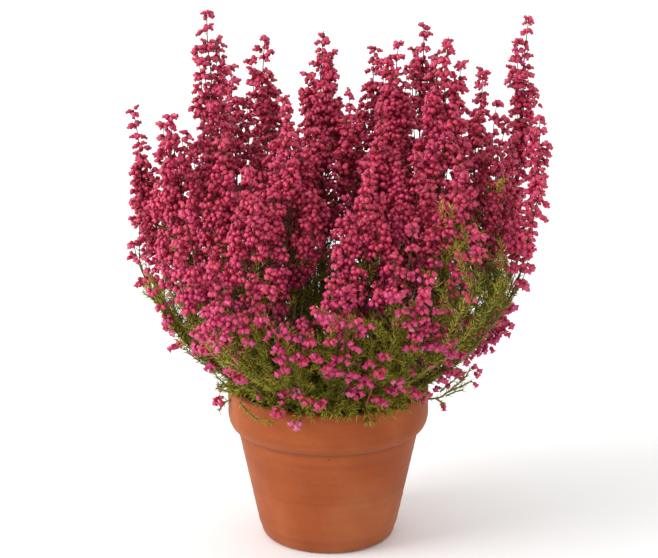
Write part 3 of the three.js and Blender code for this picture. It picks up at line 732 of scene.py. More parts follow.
def make_mottle():
    """Shared uneven colour: broad patches, fine specks and a fine height."""
    group = bpy.data.node_groups.new("mottle", "ShaderNodeTree")
    for label, value in (("Patch Scale", 20.0), ("Speck Scale", 400.0)):
        socket = group.interface.new_socket(label, in_out="INPUT", socket_type="NodeSocketFloat")
        socket.default_value = value
    for label in ("Patches", "Specks", "Height"):
        group.interface.new_socket(label, in_out="OUTPUT", socket_type="NodeSocketFloat")
    given = group.nodes.new("NodeGroupInput")
    result = group.nodes.new("NodeGroupOutput")
    place = add_node(group, "ShaderNodeTexCoord").outputs["Object"]
    patches = add_node(group, "ShaderNodeTexNoise", {
        "Vector": place, "Scale": given.outputs["Patch Scale"], "Detail": 3.0})
    specks = add_node(group, "ShaderNodeTexNoise", {
        "Vector": place, "Scale": given.outputs["Speck Scale"], "Detail": 2.0})
    height = add_node(group, "ShaderNodeMath", {
        0: patches.outputs["Fac"], 1: specks.outputs["Fac"]}, operation="ADD")
    group.links.new(mapped(group, patches.outputs["Fac"], 0.3, 0.7), result.inputs["Patches"])
    group.links.new(mapped(group, specks.outputs["Fac"], 0.3, 0.7), result.inputs["Specks"])
    group.links.new(height.outputs[0], result.inputs["Height"])
    return group


MOTTLE = make_mottle()


class Finish:
    """One material, with its shader and its own uneven colour."""

    def __init__(self, name, patch_scale, speck_scale, **settings):
        self.material = bpy.data.materials.new(name)
        self.material.use_nodes = True
        self.tree = self.material.node_tree
        self.shader = self.tree.nodes["Principled BSDF"]
        for socket, value in settings.items():
            self.shader.inputs[socket.replace("_", " ")].default_value = value
        mottle = add_node(self.tree, "ShaderNodeGroup", node_tree=MOTTLE)
        mottle.inputs["Patch Scale"].default_value = patch_scale
        mottle.inputs["Speck Scale"].default_value = speck_scale
        self.patches = mottle.outputs["Patches"]
        self.specks = mottle.outputs["Specks"]
        self.height = mottle.outputs["Height"]

    def read(self, label):
        """A value kept at every point of the mesh."""
        return add_node(self.tree, "ShaderNodeAttribute", attribute_name=label).outputs["Fac"]

    def link(self, socket, value):
        self.tree.links.new(value, self.shader.inputs[socket])

    def bump(self, distance, strength):
        made = add_node(self.tree, "ShaderNodeBump", {
            "Height": self.height, "Distance": distance, "Strength": strength})
        self.link("Normal", made.outputs["Normal"])


def bell_finish():
    finish = Finish("heath_bell", 60, 900, Roughness=0.34, Specular_IOR_Level=0.55,
                    Subsurface_Weight=0.4, Subsurface_Scale=0.002)
    tree = finish.tree
    finish.shader.inputs["Subsurface Radius"].default_value = (1.0, 0.25, 0.35)
    body = ramp(tree, finish.read("tone"), [
        (0.0, (128, 27, 50)), (0.3, (177, 41, 73)), (0.5, (208, 59, 95)), (0.8, (212, 62, 126)),
        (1.0, (240, 146, 196))])
    crown = ramp(tree, finish.read("along"), [
        (0.0, (120, 30, 40)), (0.1, (205, 60, 90)), (0.3, WHITE), (0.85, WHITE),
        (1.0, (255, 205, 225))])
    colour = blended(tree, body, crown, 0.75, "MULTIPLY")
    shade = ramp(tree, finish.patches, [(0.0, (225, 225, 225)), (1.0, WHITE)])
    finish.link("Base Color", blended(tree, colour, shade, 0.8, "MULTIPLY"))
    finish.link("Roughness", mapped(tree, finish.specks, 0, 1, 0.27, 0.4))
    finish.bump(0.00015, 0.2)
    return finish.material


def needle_finish():
    finish = Finish("heath_needle", 50, 900, Roughness=0.5, Specular_IOR_Level=0.4,
                    Subsurface_Weight=0.05, Subsurface_Scale=0.0008)
    tree = finish.tree
    body = ramp(tree, finish.read("tone"), [
        (0.0, (96, 92, 24)), (0.35, (150, 146, 32)), (0.65, (194, 188, 46)), (0.85, (218, 204, 76)),
        (1.0, (200, 152, 78))])
    tip = ramp(tree, finish.read("along"), [
        (0.0, (205, 205, 190)), (0.6, WHITE), (1.0, (255, 240, 190))])
    colour = blended(tree, body, tip, 0.8, "MULTIPLY")
    shade = ramp(tree, finish.patches, [(0.0, (205, 215, 200)), (1.0, WHITE)])
    finish.link("Base Color", blended(tree, colour, shade, 0.7, "MULTIPLY"))
    finish.link("Roughness", mapped(tree, finish.specks, 0, 1, 0.42, 0.6))
    finish.bump(0.0001, 0.2)
    return finish.material


def twig_finish():
    finish = Finish("heath_twig", 120, 700, Roughness=0.65, Specular_IOR_Level=0.3)
    tree = finish.tree
    body = ramp(tree, finish.read("tone"), [
        (0.0, (62, 44, 26)), (0.35, (92, 66, 38)), (0.64, (104, 84, 42)),
        (RED_SHADE, (150, 84, 58)), (0.8, (112, 96, 46)), (1.0, (116, 118, 48))])
    shade = ramp(tree, finish.specks, [(0.0, (170, 160, 150)), (1.0, WHITE)])
    finish.link("Base Color", blended(tree, body, shade, 0.8, "MULTIPLY"))
    finish.link("Roughness", mapped(tree, finish.patches, 0, 1, 0.55, 0.75))
    finish.bump(0.0003, 0.5)
    return finish.material


def at_clay(spot):
    """The place of a mark on the pot's outer wall."""
    bearing, height = spot
    reach = np.interp(height, [0, BASE_KINK_HEIGHT, BODY_TOP_HEIGHT, RIM_BULGE_HEIGHT],
                      [FOOT_RADIUS - 0.6, BASE_KINK_RADIUS, BODY_TOP_RADIUS, RIM_RADIUS])
    return reach * outward(bearing) + height * UP


def clay_finish():
    finish = Finish("fired_clay", 26, 620, Roughness=0.78, Specular_IOR_Level=0.25, Sheen_Weight=0.12,
                    Sheen_Roughness=0.45, Sheen_Tint=(1.0, 0.93, 0.82, 1.0))
    tree = finish.tree
    place = add_node(tree, "ShaderNodeTexCoord").outputs["Object"]
    rings = add_node(tree, "ShaderNodeMapping", {"Vector": place, "Scale": (6.0, 6.0, 190.0)})
    bands = add_node(tree, "ShaderNodeTexNoise", {"Vector": rings.outputs[0], "Scale": 1.0, "Detail": 2.0})
    body = ramp(tree, finish.patches, [(0.0, (147, 70, 31)), (0.5, (157, 77, 34)), (1.0, (166, 86, 42))])
    streak = ramp(tree, bands.outputs["Fac"], [
        (0.3, (232, 226, 222)), (0.55, WHITE), (0.75, (255, 250, 244))])
    colour = blended(tree, body, streak, 0.7, "MULTIPLY")
    speck = ramp(tree, finish.specks, [(0.0, (215, 200, 190)), (0.14, WHITE)])
    colour = blended(tree, colour, speck, 0.6, "MULTIPLY")
    bloom = add_node(tree, "ShaderNodeTexNoise", {"Vector": place, "Scale": 14.0, "Detail": 4.0})
    haze = mapped(tree, bloom.outputs["Fac"], 0.5, 0.8, 0.0, 0.35)
    colour = blended(tree, colour, linear((192, 128, 88)), haze)
    # Painted shade: a darker line where the collar meets the body, in the crease under its overhang
    height = add_node(tree, "ShaderNodeSeparateXYZ", {"Vector": place}).outputs["Z"]
    below = mapped(tree, height, (BODY_TOP_HEIGHT - 3.6) * MM, (BODY_TOP_HEIGHT - 0.8) * MM)
    above = mapped(tree, height, (BODY_TOP_HEIGHT + 0.7) * MM, (BODY_TOP_HEIGHT + 2.0) * MM, 1.0, 0.0)
    painted_crease_shade = add_node(tree, "ShaderNodeMath", {0: below, 1: above}, operation="MULTIPLY").outputs[0]
    # The painted shade under the collar is darkened into the clay's colour here
    colour = blended(tree, colour, linear((104, 50, 24)), mapped(tree, painted_crease_shade, 0, 1, 0, 0.28))
    for spot, size in CLAY_SPOTS:
        distance = add_node(tree, "ShaderNodeVectorMath", {0: place, 1: at_clay(spot) * MM},
                            operation="DISTANCE")
        mark = mapped(tree, distance.outputs["Value"], 0.5 * size * MM, size * MM, 0.8, 0.0)
        colour = blended(tree, colour, linear((70, 38, 26)), mark)
    finish.link("Base Color", colour)
    finish.link("Roughness", mapped(tree, finish.specks, 0, 1, 0.7, 0.88))
    finish.bump(0.0005, 0.35)
    return finish.material


def soil_finish():
    finish = Finish("moist_peat", 60, 800, Roughness=0.95, Specular_IOR_Level=0.15)
    tree = finish.tree
    body = ramp(tree, finish.read("tone"), [
        (0.0, (24, 16, 11)), (0.5, (46, 32, 22)), (0.85, (74, 54, 36)), (1.0, (120, 92, 62))])
    shade = ramp(tree, finish.specks, [(0.0, (150, 145, 140)), (1.0, WHITE)])
    finish.link("Base Color", blended(tree, body, shade, 0.8, "MULTIPLY"))
    finish.link("Roughness", mapped(tree, finish.patches, 0, 1, 0.88, 1.0))
    finish.bump(0.0008, 0.6)
    return finish.material


def floor_finish():
    finish = Finish("pale_floor", 1.5, 60, Roughness=0.9, Specular_IOR_Level=0.1)
    colour = ramp(finish.tree, finish.patches, [(0.0, (251, 251, 250)), (1.0, (254, 254, 254))])
    finish.link("Base Color", colour)
    return finish.material


FINISHES = {
    "bell": bell_finish(),
    "needle": needle_finish(),
    "twig": twig_finish(),
    "clay": clay_finish(),
    "soil": soil_finish(),
}


# Camera, light and floor

def set_stage():
    """The photo's camera, a key light, an even sky and a pale floor with a light of its own."""
    camera = bpy.data.cameras.new("camera")
    camera.sensor_width = SENSOR_WIDTH
    camera.lens = VIEW_FOCAL_PIXELS * SENSOR_WIDTH / VIEW_WIDTH
    camera.clip_end = 20
    holder = put("camera", camera)
    forward = Vector((0, math.cos(VIEW_TILT), -math.sin(VIEW_TILT)))
    holder.location = (Vector(VIEW_TARGET) - VIEW_DISTANCE * forward) * MM
    holder.rotation_euler = forward.to_track_quat("-Z", "Y").to_euler()
    bpy.context.scene.camera = holder
    for name, place, aim, size, power in LIGHTS:
        light = bpy.data.lights.new(name, "AREA")
        light.shape = "RECTANGLE"
        light.size, light.size_y = size
        light.energy = power
        lamp = put(name, light)
        lamp.location = place
        towards = Vector(aim) - Vector(place)
        lamp.rotation_euler = towards.to_track_quat("-Z", "Y").to_euler()
    world = bpy.data.worlds.new("soft_studio")
    world.use_nodes = True
    sky = world.node_tree.nodes["Background"]
    sky.inputs["Color"].default_value = (1, 1, 1, 1)
    sky.inputs["Strength"].default_value = SKY_STRENGTH
    bpy.context.scene.world = world
    bpy.context.scene.view_settings.view_transform = "Standard"
    mesh = bpy.data.meshes.new("floor")
    mesh.from_pydata(FLOOR_CORNERS, [], [(0, 1, 2, 3)])
    mesh.materials.append(floor_finish())
    put("floor", mesh)


# Pot and soil

def inner_radius(height):
    """Radius of the pot's inside at a height."""
    t = (height - BASE_KINK_HEIGHT) / (BODY_TOP_HEIGHT - BASE_KINK_HEIGHT)
    return mix(BASE_KINK_RADIUS, BODY_TOP_RADIUS, t) - WALL


def quarter(start, end, count, bulge_out):
    """Points of a quarter of an ellipse between two places of an outline, without the first."""
    points = []
    for step in range(1, count + 1):
        t = math.pi / 2 * step / count
        sideways, upwards = (math.sin(t), 1 - math.cos(t)) if bulge_out else (1 - math.cos(t), math.sin(t))
        points.append((mix(start[0], end[0], sideways), mix(start[1], end[1], upwards)))
    return points


def straight(start, end, count):
    """Evenly spaced points of a line between two places of an outline, without the first."""
    return [(mix(start[0], end[0], step / count), mix(start[1], end[1], step / count))
            for step in range(1, count + 1)]


def lathe(growth, outline, wave):
    """A closed outline turned about the axis, its radius changed a little from place to place."""
    angles = FULL_TURN * np.arange(POT_SIDES) / POT_SIDES
    outline = np.array(outline)
    radius = outline[:, :1] + wave(angles[None], outline[:, 1:], outline[:, :1])
    points = np.stack([radius * np.cos(angles), radius * np.sin(angles),
                       np.broadcast_to(outline[:, 1:], radius.shape)], axis=-1)
    index = np.arange(len(outline) * POT_SIDES).reshape(len(outline), POT_SIDES)
    a, c = index, np.roll(index, -1, axis=0)
    b, d = np.roll(a, -1, axis=1), np.roll(c, -1, axis=1)
    faces = np.concatenate([np.stack([a, b, d], -1).reshape(-1, 3), np.stack([a, d, c], -1).reshape(-1, 3)])
    growth.add(points.reshape(-1, 3), faces, "clay", 0.5, 0.5)


def make_pot():
    """The clay pot, from the drain hole out, up the outside, over the rim and down the inside."""
    kink = (BASE_KINK_RADIUS, BASE_KINK_HEIGHT)
    shoulder = (BODY_TOP_RADIUS, BODY_TOP_HEIGHT)
    bulge = (RIM_RADIUS, RIM_BULGE_HEIGHT)
    rim = (RIM_RADIUS, POT_HEIGHT - RIM_ROUNDING)
    rim_top = (RIM_RADIUS - RIM_ROUNDING, POT_HEIGHT)
    lip = (inner_radius(POT_HEIGHT) + RIM_ROUNDING, POT_HEIGHT)
    inside = (inner_radius(POT_HEIGHT - RIM_ROUNDING), POT_HEIGHT - RIM_ROUNDING)
    corner = (inner_radius(FLOOR + 2), FLOOR + 2)
    outline = [(DRAIN_RADIUS, 0.0), (22.0, 0.0), (FOOT_RADIUS - FOOT_EDGE, 0.0)]
    outline += quarter(outline[-1], (FOOT_RADIUS, FOOT_EDGE), 6, True)
    outline += straight(outline[-1], kink, 4) + straight(kink, shoulder, 36)
    outline += quarter(shoulder, bulge, 9, True) + straight(bulge, rim, 10)
    outline += quarter(rim, rim_top, 5, False) + straight(rim_top, lip, 2)
    outline += quarter(lip, inside, 5, True) + straight(inside, corner, 20)
    outline += [(inner_radius(FLOOR) - 2, FLOOR), (DRAIN_RADIUS, FLOOR)]

    def wave(angle, height, radius):
        """Turning marks, a pot that isn't quite round and chips, all on the outside only."""
        outer = smooth((radius - 30) / 8)
        turning = 0.07 * np.sin(2.1 * height + 0.6 * np.sin(3 * angle))
        turning = turning + 0.05 * np.sin(0.83 * height + 2 * angle)
        out_of_round = 0.16 * np.cos(2 * angle + 0.7) + 0.08 * np.cos(3 * angle - 1.1)
        chips = 0
        for (bearing, level), size, depth in CLAY_CHIPS:
            aside = RIM_RADIUS * np.sin(np.clip((angle - bearing) / 2, -1.5, 1.5))
            chips = chips + depth * np.exp(-(aside ** 2 + (height - level) ** 2) / (0.5 * size ** 2))
        return outer * (0.8 * turning + out_of_round - 0.2 - chips)

    growth = Growth()
    lathe(growth, outline, wave)
    growth.make("clay_pot", "clay", ["pot"])


def add_crumbs(growth, wall, rng):
    """Crumbs that lie all over the top of the soil."""
    reach = wall * np.sqrt(rng.uniform(0, 1, CRUMBS)) * 0.985
    turn = rng.uniform(0, FULL_TURN, CRUMBS)
    size = rng.uniform(0.5, 1.5, CRUMBS) * rng.uniform(0.5, 1, CRUMBS)
    level = SOIL_LEVEL + 0.7 * np.sin(0.21 * reach * np.cos(turn) + 1)
    level = level - 1.2 * smooth((reach - wall + 4) / 4)
    places = reach[:, None] * circle(turn) + level[:, None] * UP
    tone = np.clip(0.45 + 0.25 * rng.standard_normal(CRUMBS), 0, 1)
    way = rng.standard_normal((CRUMBS, 3)) + UP
    growth.copies(CRUMB, places, way, turn, size * 0.8, size * 1.5, "soil", tone)


def make_soil():
    """A body of soil with an uneven top, and crumbs that lie on it."""
    rng = np.random.default_rng([SEED, 900])
    growth = Growth()
    wall = inner_radius(SOIL_LEVEL - 3) - SOIL_GAP - 0.3
    angle = FULL_TURN * np.arange(SOIL_SIDES) / SOIL_SIDES
    radii = np.linspace(1.5, wall, SOIL_RINGS)
    radius, turn = np.meshgrid(radii, angle, indexing="ij")
    x, y = radius * np.cos(turn), radius * np.sin(turn)
    uneven = 0.9 * np.sin(0.21 * x + 1) * np.cos(0.17 * y) + 0.5 * np.sin(0.5 * x - 0.37 * y)
    uneven = uneven + 0.45 * rng.standard_normal(x.shape) * (radius > 4)
    z = SOIL_LEVEL + uneven - 1.2 * smooth((radius - wall + 4) / 4)
    bottom = FLOOR + SOIL_GAP
    rows = [np.stack([x[i], y[i], z[i]], -1) for i in range(SOIL_RINGS)]
    for height in (SOIL_LEVEL - 6, 60, 40, 20, bottom + 2):
        reach = inner_radius(height) - SOIL_GAP - 0.3
        rows.append(reach * circle(angle) + height * UP)
    reach = inner_radius(bottom) - 2.6 - SOIL_GAP
    rows.append(reach * circle(angle) + bottom * UP)
    points = np.concatenate([*rows, [[0, 0, SOIL_LEVEL]], [[0, 0, bottom]]])
    index = np.arange(len(rows) * SOIL_SIDES).reshape(len(rows), SOIL_SIDES)
    a, c = index[:-1], index[1:]
    b, d = np.roll(a, -1, axis=1), np.roll(c, -1, axis=1)
    top, base = len(points) - 2, len(points) - 1
    first, last = index[0], index[-1]
    faces = np.concatenate([
        np.stack([a, d, b], -1).reshape(-1, 3), np.stack([a, c, d], -1).reshape(-1, 3),
        np.stack([first, np.roll(first, -1), np.full(SOIL_SIDES, top)], -1),
        np.stack([last, np.full(SOIL_SIDES, base), np.roll(last, -1)], -1)])
    tone = np.clip(0.4 + 0.15 * rng.standard_normal(len(points)), 0, 1)
    growth.add(points, faces, "soil", tone, 0.5)
    add_crumbs(growth, wall, rng)
    growth.make("peat_soil", "soil", ["potting_soil"])


# Flowers

# Kinds of bell, from the most hidden place to the most open, then the one low down
BELL_SHAPES = (DIM_BELL, SMALL_BELL, PLAIN_BELL, OPEN_BELL, FLARED_BELL)
BELL_VIEWS = (DIM_VIEW, PLAIN_VIEW, OPEN_VIEW)


class Bells:
    """Bells of one piece, gathered before they are made."""

    def __init__(self):
        self.rows = []

    def hang(self, roots, axes, size, tone, view, rng):
        """Bells at their roots, pointing along their axes."""
        count = len(roots)
        tones = tone + BELL_VARIETY * rng.standard_normal(count)
        views = view * np.ones(count)
        self.rows.append((roots, axes, size * rng.uniform(0.84, 1.1, count), tones, views))

    def grow(self, growth, rng):
        """Make every bell, in the kind that its place calls for."""
        roots, axes, sizes, tones, views = [np.concatenate(column) for column in zip(*self.rows)]
        spin = rng.uniform(0, FULL_TURN, len(roots))
        lengths = BELL_LENGTH * sizes * rng.uniform(0.92, 1.12, len(roots))
        kind = np.digitize(views, BELL_VIEWS)
        low = roots[:, 2] < FLARED_BELOW + 12 * rng.standard_normal(len(roots))
        kind[low & (views > FLARED_VIEW)] = len(BELL_SHAPES) - 1
        for number, shape in enumerate(BELL_SHAPES):
            chosen = kind == number
            if chosen.any():
                growth.copies(shape, roots[chosen], axes[chosen], spin[chosen], BELL_RADIUS * sizes[chosen],
                              lengths[chosen], "bell", np.clip(tones[chosen], 0, 1))


class Shoot:
    """A shoot: its path, how far down from its tip it flowers, the way it stands out from its
    spike and how much of the view is open at its tip."""

    def __init__(self, path, flowering=0, out=(0, 0, 0), view=1):
        self.path = path
        self.flowering = flowering
        self.out = np.array(out, float)
        self.view = view
        gaps = np.linalg.norm(np.diff(path, axis=0), axis=1)
        self.places = np.concatenate([[0], np.cumsum(gaps)])
        self.length = self.places[-1]

    def at(self, below):
        """The point that lies a length below the tip, and the way the shoot runs there."""
        place = self.length - np.asarray(below, float)
        point, ahead, behind = (
            np.stack([np.interp(place + step, self.places, self.path[:, i]) for i in range(3)], -1)
            for step in (0, 1.5, -1.5))
        return point, unit(ahead - behind)


def bell_tone(height):
    """Lower flowers are pinker and paler, upper ones deep crimson."""
    return mix(LOW_TONE, HIGH_TONE, smooth((height - DEEPENING_FROM) / DEEPENING_OVER))


def bell_size(height):
    """Lower flowers are a little smaller."""
    return mix(1.0, 0.9, smooth((165 - height) / 60))


def flower_share(height):
    """Share of the clumps that open at a height: few low down, where the leaves show."""
    rise = float(smooth((height - SPARSE_HEIGHT) / (DENSE_HEIGHT - SPARSE_HEIGHT)))
    return mix(SPARSE_SHARE, 1, rise)


def bell_clumps(bells, stalks, shoot, below, clumps, view, rng):
    """Clumps of nodding bells on short stalks at one height of a shoot."""
    point, run = shoot.at(below)
    turn = FULL_TURN * (np.arange(clumps) + rng.uniform(-0.3, 0.3, clumps)) / clumps
    turn = turn + rng.uniform(0, FULL_TURN)
    side, _, _ = turned_frames(np.broadcast_to(run, (clumps, 3)), turn)
    kept = (side @ shoot.out > -0.4) | (rng.random(clumps) > 0.55)
    side = side if clumps == 1 else side[kept]
    if not len(side):
        return
    clumps = len(side)
    alone = clumps == 1
    offset = rng.uniform(0, 0.8, (1, 1)) if alone else rng.uniform(1.0, 4.2, (clumps, 1))
    centres = point + offset * side + rng.uniform(-1.8, 1.8, (clumps, 1)) * run
    counts = rng.integers(3, 6, clumps) + 2 * alone - (point[2] < FLARED_BELOW) - (view < DIM_VIEW)
    owner = np.repeat(np.arange(clumps), counts)
    lead = unit(0.5 * side + run)[owner]
    turn = FULL_TURN * rng.uniform(0, 1, clumps)[owner] + BELL_TURN * np.arange(len(owner))
    around, _, _ = turned_frames(lead, turn)
    drop = rng.uniform(-0.1, 1.0, (len(owner), 1))
    roots = centres[owner] + rng.uniform(0.5, 1.2, (len(owner), 1)) * around
    roots = roots + rng.uniform(-0.9 - alone, 1.1 + 0.6 * alone, (len(owner), 1)) * lead
    push = 0.0 if alone else 0.35 * side[owner]
    loose = 0.14 * rng.standard_normal((len(owner), 3))
    axes = unit((0.85 - 0.15 * alone) * around + push - drop * UP + loose)
    tone = bell_tone(point[2]) + 0.04 * rng.standard_normal()
    bells.hang(roots, axes, bell_size(point[2]), tone, view, rng)
    foot = point - rng.uniform(1.5, 3.0) * run
    if view > STALK_VIEW:
        stalks.append(np.stack([np.broadcast_to(foot, centres.shape), centres], axis=1))
        stalks.append(np.stack([centres[owner] - 0.4 * run, roots + 0.5 * axes], axis=1))


def flower_shoot(bells, stalks, shoot, spike, rng):
    """Clumps of bells from a shoot's tip downwards, wider apart near the spike's top."""
    below = FIRST_CLUMP
    while below < shoot.flowering:
        point, _ = shoot.at(below)
        dense = float(smooth((spike.top - point[2] - LOOSE_TOP) / LOOSE_OVER))
        view = float(openness(point + LOOK_OUT * shoot.out, spike.number))
        front = openness(point + LOOK_OUT * shoot.out, spike.number, FRONT_LOOKS)
        core = not shoot.out.any() and spike.reach(point[2]) > CORE_REACH
        luck = rng.random()
        share = flower_share(point[2] - RAISED_FLOWERS.get(spike.number, 0))
        seen = view > DARK_VIEW or front > 0 or luck < HIDDEN_SHARE
        tip = below < LONE_TIP
        inside = tip or math.hypot(*point[:2]) < np.interp(point[2], EDGE_HEIGHTS, EDGE_REACHES)
        if seen and inside and not (core and luck < CORE_LOSS) and rng.random() < share:
            clumps = 1
            if not tip:
                clumps += rng.random() < dense + 0.35
                clumps += rng.random() < 0.8 * dense
            bell_clumps(bells, stalks, shoot, below, clumps, view * (CORE_VIEW if core else 1), rng)
        below += mix(LOOSE_TIER_STEP, TIER_STEP, dense) * rng.uniform(0.7, 1.3)


def leafy_length(green, shoot, tone, rng, step=NEEDLE_STEP, bare=0):
    """Rings of needles on a shoot, from its foot up to a bare length at its tip."""
    stops = np.arange(bare + step / 2, shoot.length - 0.5, step)
    rings = len(stops)
    if not rings:
        return
    points, runs = shoot.at(stops + rng.uniform(-0.25, 0.25, rings) * step)
    count = rings * NEEDLE_RING
    turn = np.tile(FULL_TURN * np.arange(NEEDLE_RING) / NEEDLE_RING, rings)
    turn = turn + np.repeat(rng.uniform(0, FULL_TURN, rings), NEEDLE_RING)
    turn = turn + rng.uniform(-0.3, 0.3, count)
    run = np.repeat(runs, NEEDLE_RING, axis=0)
    side, _, _ = turned_frames(run, turn)
    tilt = NEEDLE_LEAN * rng.uniform(0.6, 1.3, count)[:, None]
    way = unit(np.cos(tilt) * run + np.sin(tilt) * side + 0.22 * rng.standard_normal((count, 3)))
    shade = np.repeat(tone + 0.1 * rng.standard_normal(rings), NEEDLE_RING)
    shade = np.clip(shade + 0.12 * rng.standard_normal(count), 0, 1)
    radius = NEEDLE_RADIUS * rng.uniform(0.85, 1.2, count)
    length = NEEDLE_LENGTH * rng.uniform(0.7, 1.2, count)
    green.copies(NEEDLE, np.repeat(points, NEEDLE_RING, axis=0), way, turn, radius, length, "needle", shade)


def beside(spike, low, tip, away, bearing, rng):
    """A path that leaves a spike's stem, swings out and rises beside it."""
    heights = np.linspace(low, tip, SIDE_POINTS)
    out = away * smooth((heights - low) / (1.5 * away + 8)) + 0.05 * (heights - low)
    turn = bearing + 0.25 * rng.standard_normal() * np.linspace(0, 1, SIDE_POINTS)
    wave = 0.5 * np.sin(heights / 6 + rng.uniform(0, FULL_TURN))
    return spike.core(heights) + (out + wave)[:, None] * circle(turn)


def top_shoot(spike, bearing, out, rng):
    """A shoot that ends close to a spike's top."""
    tip = spike.top - rng.uniform(13, 34)
    room = float(room_at(spike, np.array(tip), bearing)) - 2
    away = min(rng.uniform(4.0, 7.0), max(room, 3))
    path = beside(spike, tip - rng.uniform(30, 44), tip, away, bearing, rng)
    return Shoot(path, rng.uniform(14, 26), out)


def side_shoots(spike, rng):
    """The shoots round a spike's main one, each with a tip of its own."""
    made = []
    ring = max(1, round(FULL_TURN * (spike.low_girth - COLUMN_RADIUS) / SHOOT_GAP))
    turned = rng.uniform(0, FULL_TURN)
    for slot in range(ring):
        bearing = turned + FULL_TURN * (slot + rng.uniform(-0.25, 0.25)) / ring
        out = outward(bearing)
        tip = spike.start + rng.uniform(2, 18)
        while tip < spike.top - TIP_LENGTH:
            flowering = rng.uniform(20, 34)
            room = float(room_at(spike, np.array(tip), bearing)) - 3
            away = min(float(spike.reach(tip)) - COLUMN_RADIUS, room) * rng.uniform(0.85, 1.15)
            climb = flowering + 1.5 * max(away, 2) + rng.uniform(2, 10)
            if away > 2:
                low = max(tip - climb, spike.start - 14)
                path = beside(spike, low, tip, away, bearing, rng)
                full = float(smooth((tip - spike.full_from + FILLING_FROM) / FILLING_OVER))
                flowering = min(flowering, 0.9 * (tip - low)) * mix(0.28, 1, full)
                if rng.random() > mix(0.4, 1, full):
                    flowering = 0
                view = openness(path[-1] + 2 * out, spike.number)
                made.append(Shoot(path, flowering, out, view))
            tip += climb * rng.uniform(0.5, 0.68)
        if slot % 3 == 0 and spike.taper > TALL_TAPER:
            made.append(top_shoot(spike, bearing, out, rng))
    return made


def marked_shoots(spike):
    """The shoots of a spike whose tips are read off the photo."""
    made = []
    for number, u, v, depth, flowering in SIDE_TIPS:
        if number == spike.number:
            tip = at_pixel(u, v, depth)
            low = tip[2] - flowering - 18
            heights = np.linspace(low, tip[2], SIDE_POINTS)
            aside = tip - spike.core(tip[2])
            share = smooth((heights - low) / (0.75 * (tip[2] - low)))
            path = spike.core(heights) + share[:, None] * aside
            made.append(Shoot(path, flowering, unit(aside * [1, 1, 0])))
    return made


def grow_spike(spike):
    """The bells of a spike as one piece, its stem, side shoots, stalks and leaves as another."""
    rng = np.random.default_rng([SEED, 100 + spike.number])
    bells, green, stalks = Bells(), Growth(), []
    path = spike.core(np.linspace(spike.start - 3, spike.top - 1, 32))
    green.twig(path, SPIKE_RADII, SPIKE_SHADE, 5)
    main = Shoot(path, spike.top - spike.start - 4)
    flower_shoot(bells, stalks, main, spike, rng)
    if spike.start < LEAVES_SHOW_BELOW:
        leafy_length(green, main, 0.5, rng, bare=max(spike.top - LEAVES_SHOW_BELOW, 3))
    shoots = side_shoots(spike, rng) + marked_shoots(spike)
    for shoot in shoots:
        flower_shoot(bells, stalks, shoot, spike, rng)
        if shoot.view > DARK_VIEW and shoot.path[0, 2] < LEAFY_BELOW:
            bare = min(shoot.flowering + 0.5, max(shoot.path[-1, 2] - LEAVES_SHOW_BELOW, 2))
            leafy_length(green, shoot, rng.uniform(0.3, 0.7), rng, 1.15 * NEEDLE_STEP, bare)
    for dim, step in ((False, 1), (True, 2)):
        paths = [shoot.path[::step] for shoot in shoots if (shoot.view < DIM_VIEW) == dim]
        shades = SIDE_SHADE + 0.15 * rng.standard_normal(len(paths))
        green.rods(paths, np.linspace(*SIDE_RADII, SIDE_POINTS // step), 3, shades)
    if stalks:
        feet, ends = np.concatenate(stalks).swapaxes(0, 1)
        lengths = np.linalg.norm(ends - feet, axis=1)
        same = np.ones(len(lengths))
        green.copies(NEEDLE, feet, ends - feet, 0 * same, STALK_RADIUS * same, lengths, "twig",
                     STALK_SHADE * same)
    flowers = Growth()
    bells.grow(flowers, rng)
    number = f"{spike.number:02d}"
    flowers.make(f"bells_{number}", "flower", [f"flower_spike_{number}"])
    green.make(f"flower_twigs_{number}", "leafy_stem", [f"flower_spike_{number}"])


# Leafy stems

def bush_radius(height):
    """The widest reach of the leaves at a height."""
    return np.interp(height, BUSH_HEIGHTS, BUSH_REACHES)


def clear_of_pot(path):
    """True where a shoot neither cuts the pot's wall nor dips into the soil."""
    radius = np.linalg.norm(path[:, :2], axis=1)
    over_wall = (radius > inner_radius(POT_HEIGHT) - 1.5) & (radius < RIM_RADIUS + 0.8)
    outside = radius >= RIM_RADIUS + 0.8
    cuts = over_wall & (path[:, 2] < POT_HEIGHT + 0.8)
    dips = ~outside & ~over_wall & (path[:, 2] < SOIL_LEVEL + 1)
    return not np.any(cuts | dips)


def bent_path(start, knee, end):
    """A smooth curve from start to end, pulled towards a knee."""
    t = np.linspace(0, 1, TWIG_POINTS)[:, None]
    return (1 - t) ** 2 * start + 2 * t * (1 - t) * knee + t ** 2 * end


def rim_shoot(start, turn, overhang, drop):
    """A shoot that leans over the rim and hangs down outside it a little."""
    bearing = math.atan2(start[1], start[0]) + turn
    away = outward(bearing)
    end = away * (RIM_RADIUS + overhang) + UP * (POT_HEIGHT + 1.5 - drop)
    knee = away * (RIM_RADIUS - 1) + UP * (POT_HEIGHT + 9)
    return bent_path(start, knee, end)


def in_bare_arc(point):
    """True at the front left, where the photo shows the rim bare."""
    bearing = math.atan2(point[1], point[0])
    return BARE_ARC[0] < bearing < BARE_ARC[1]


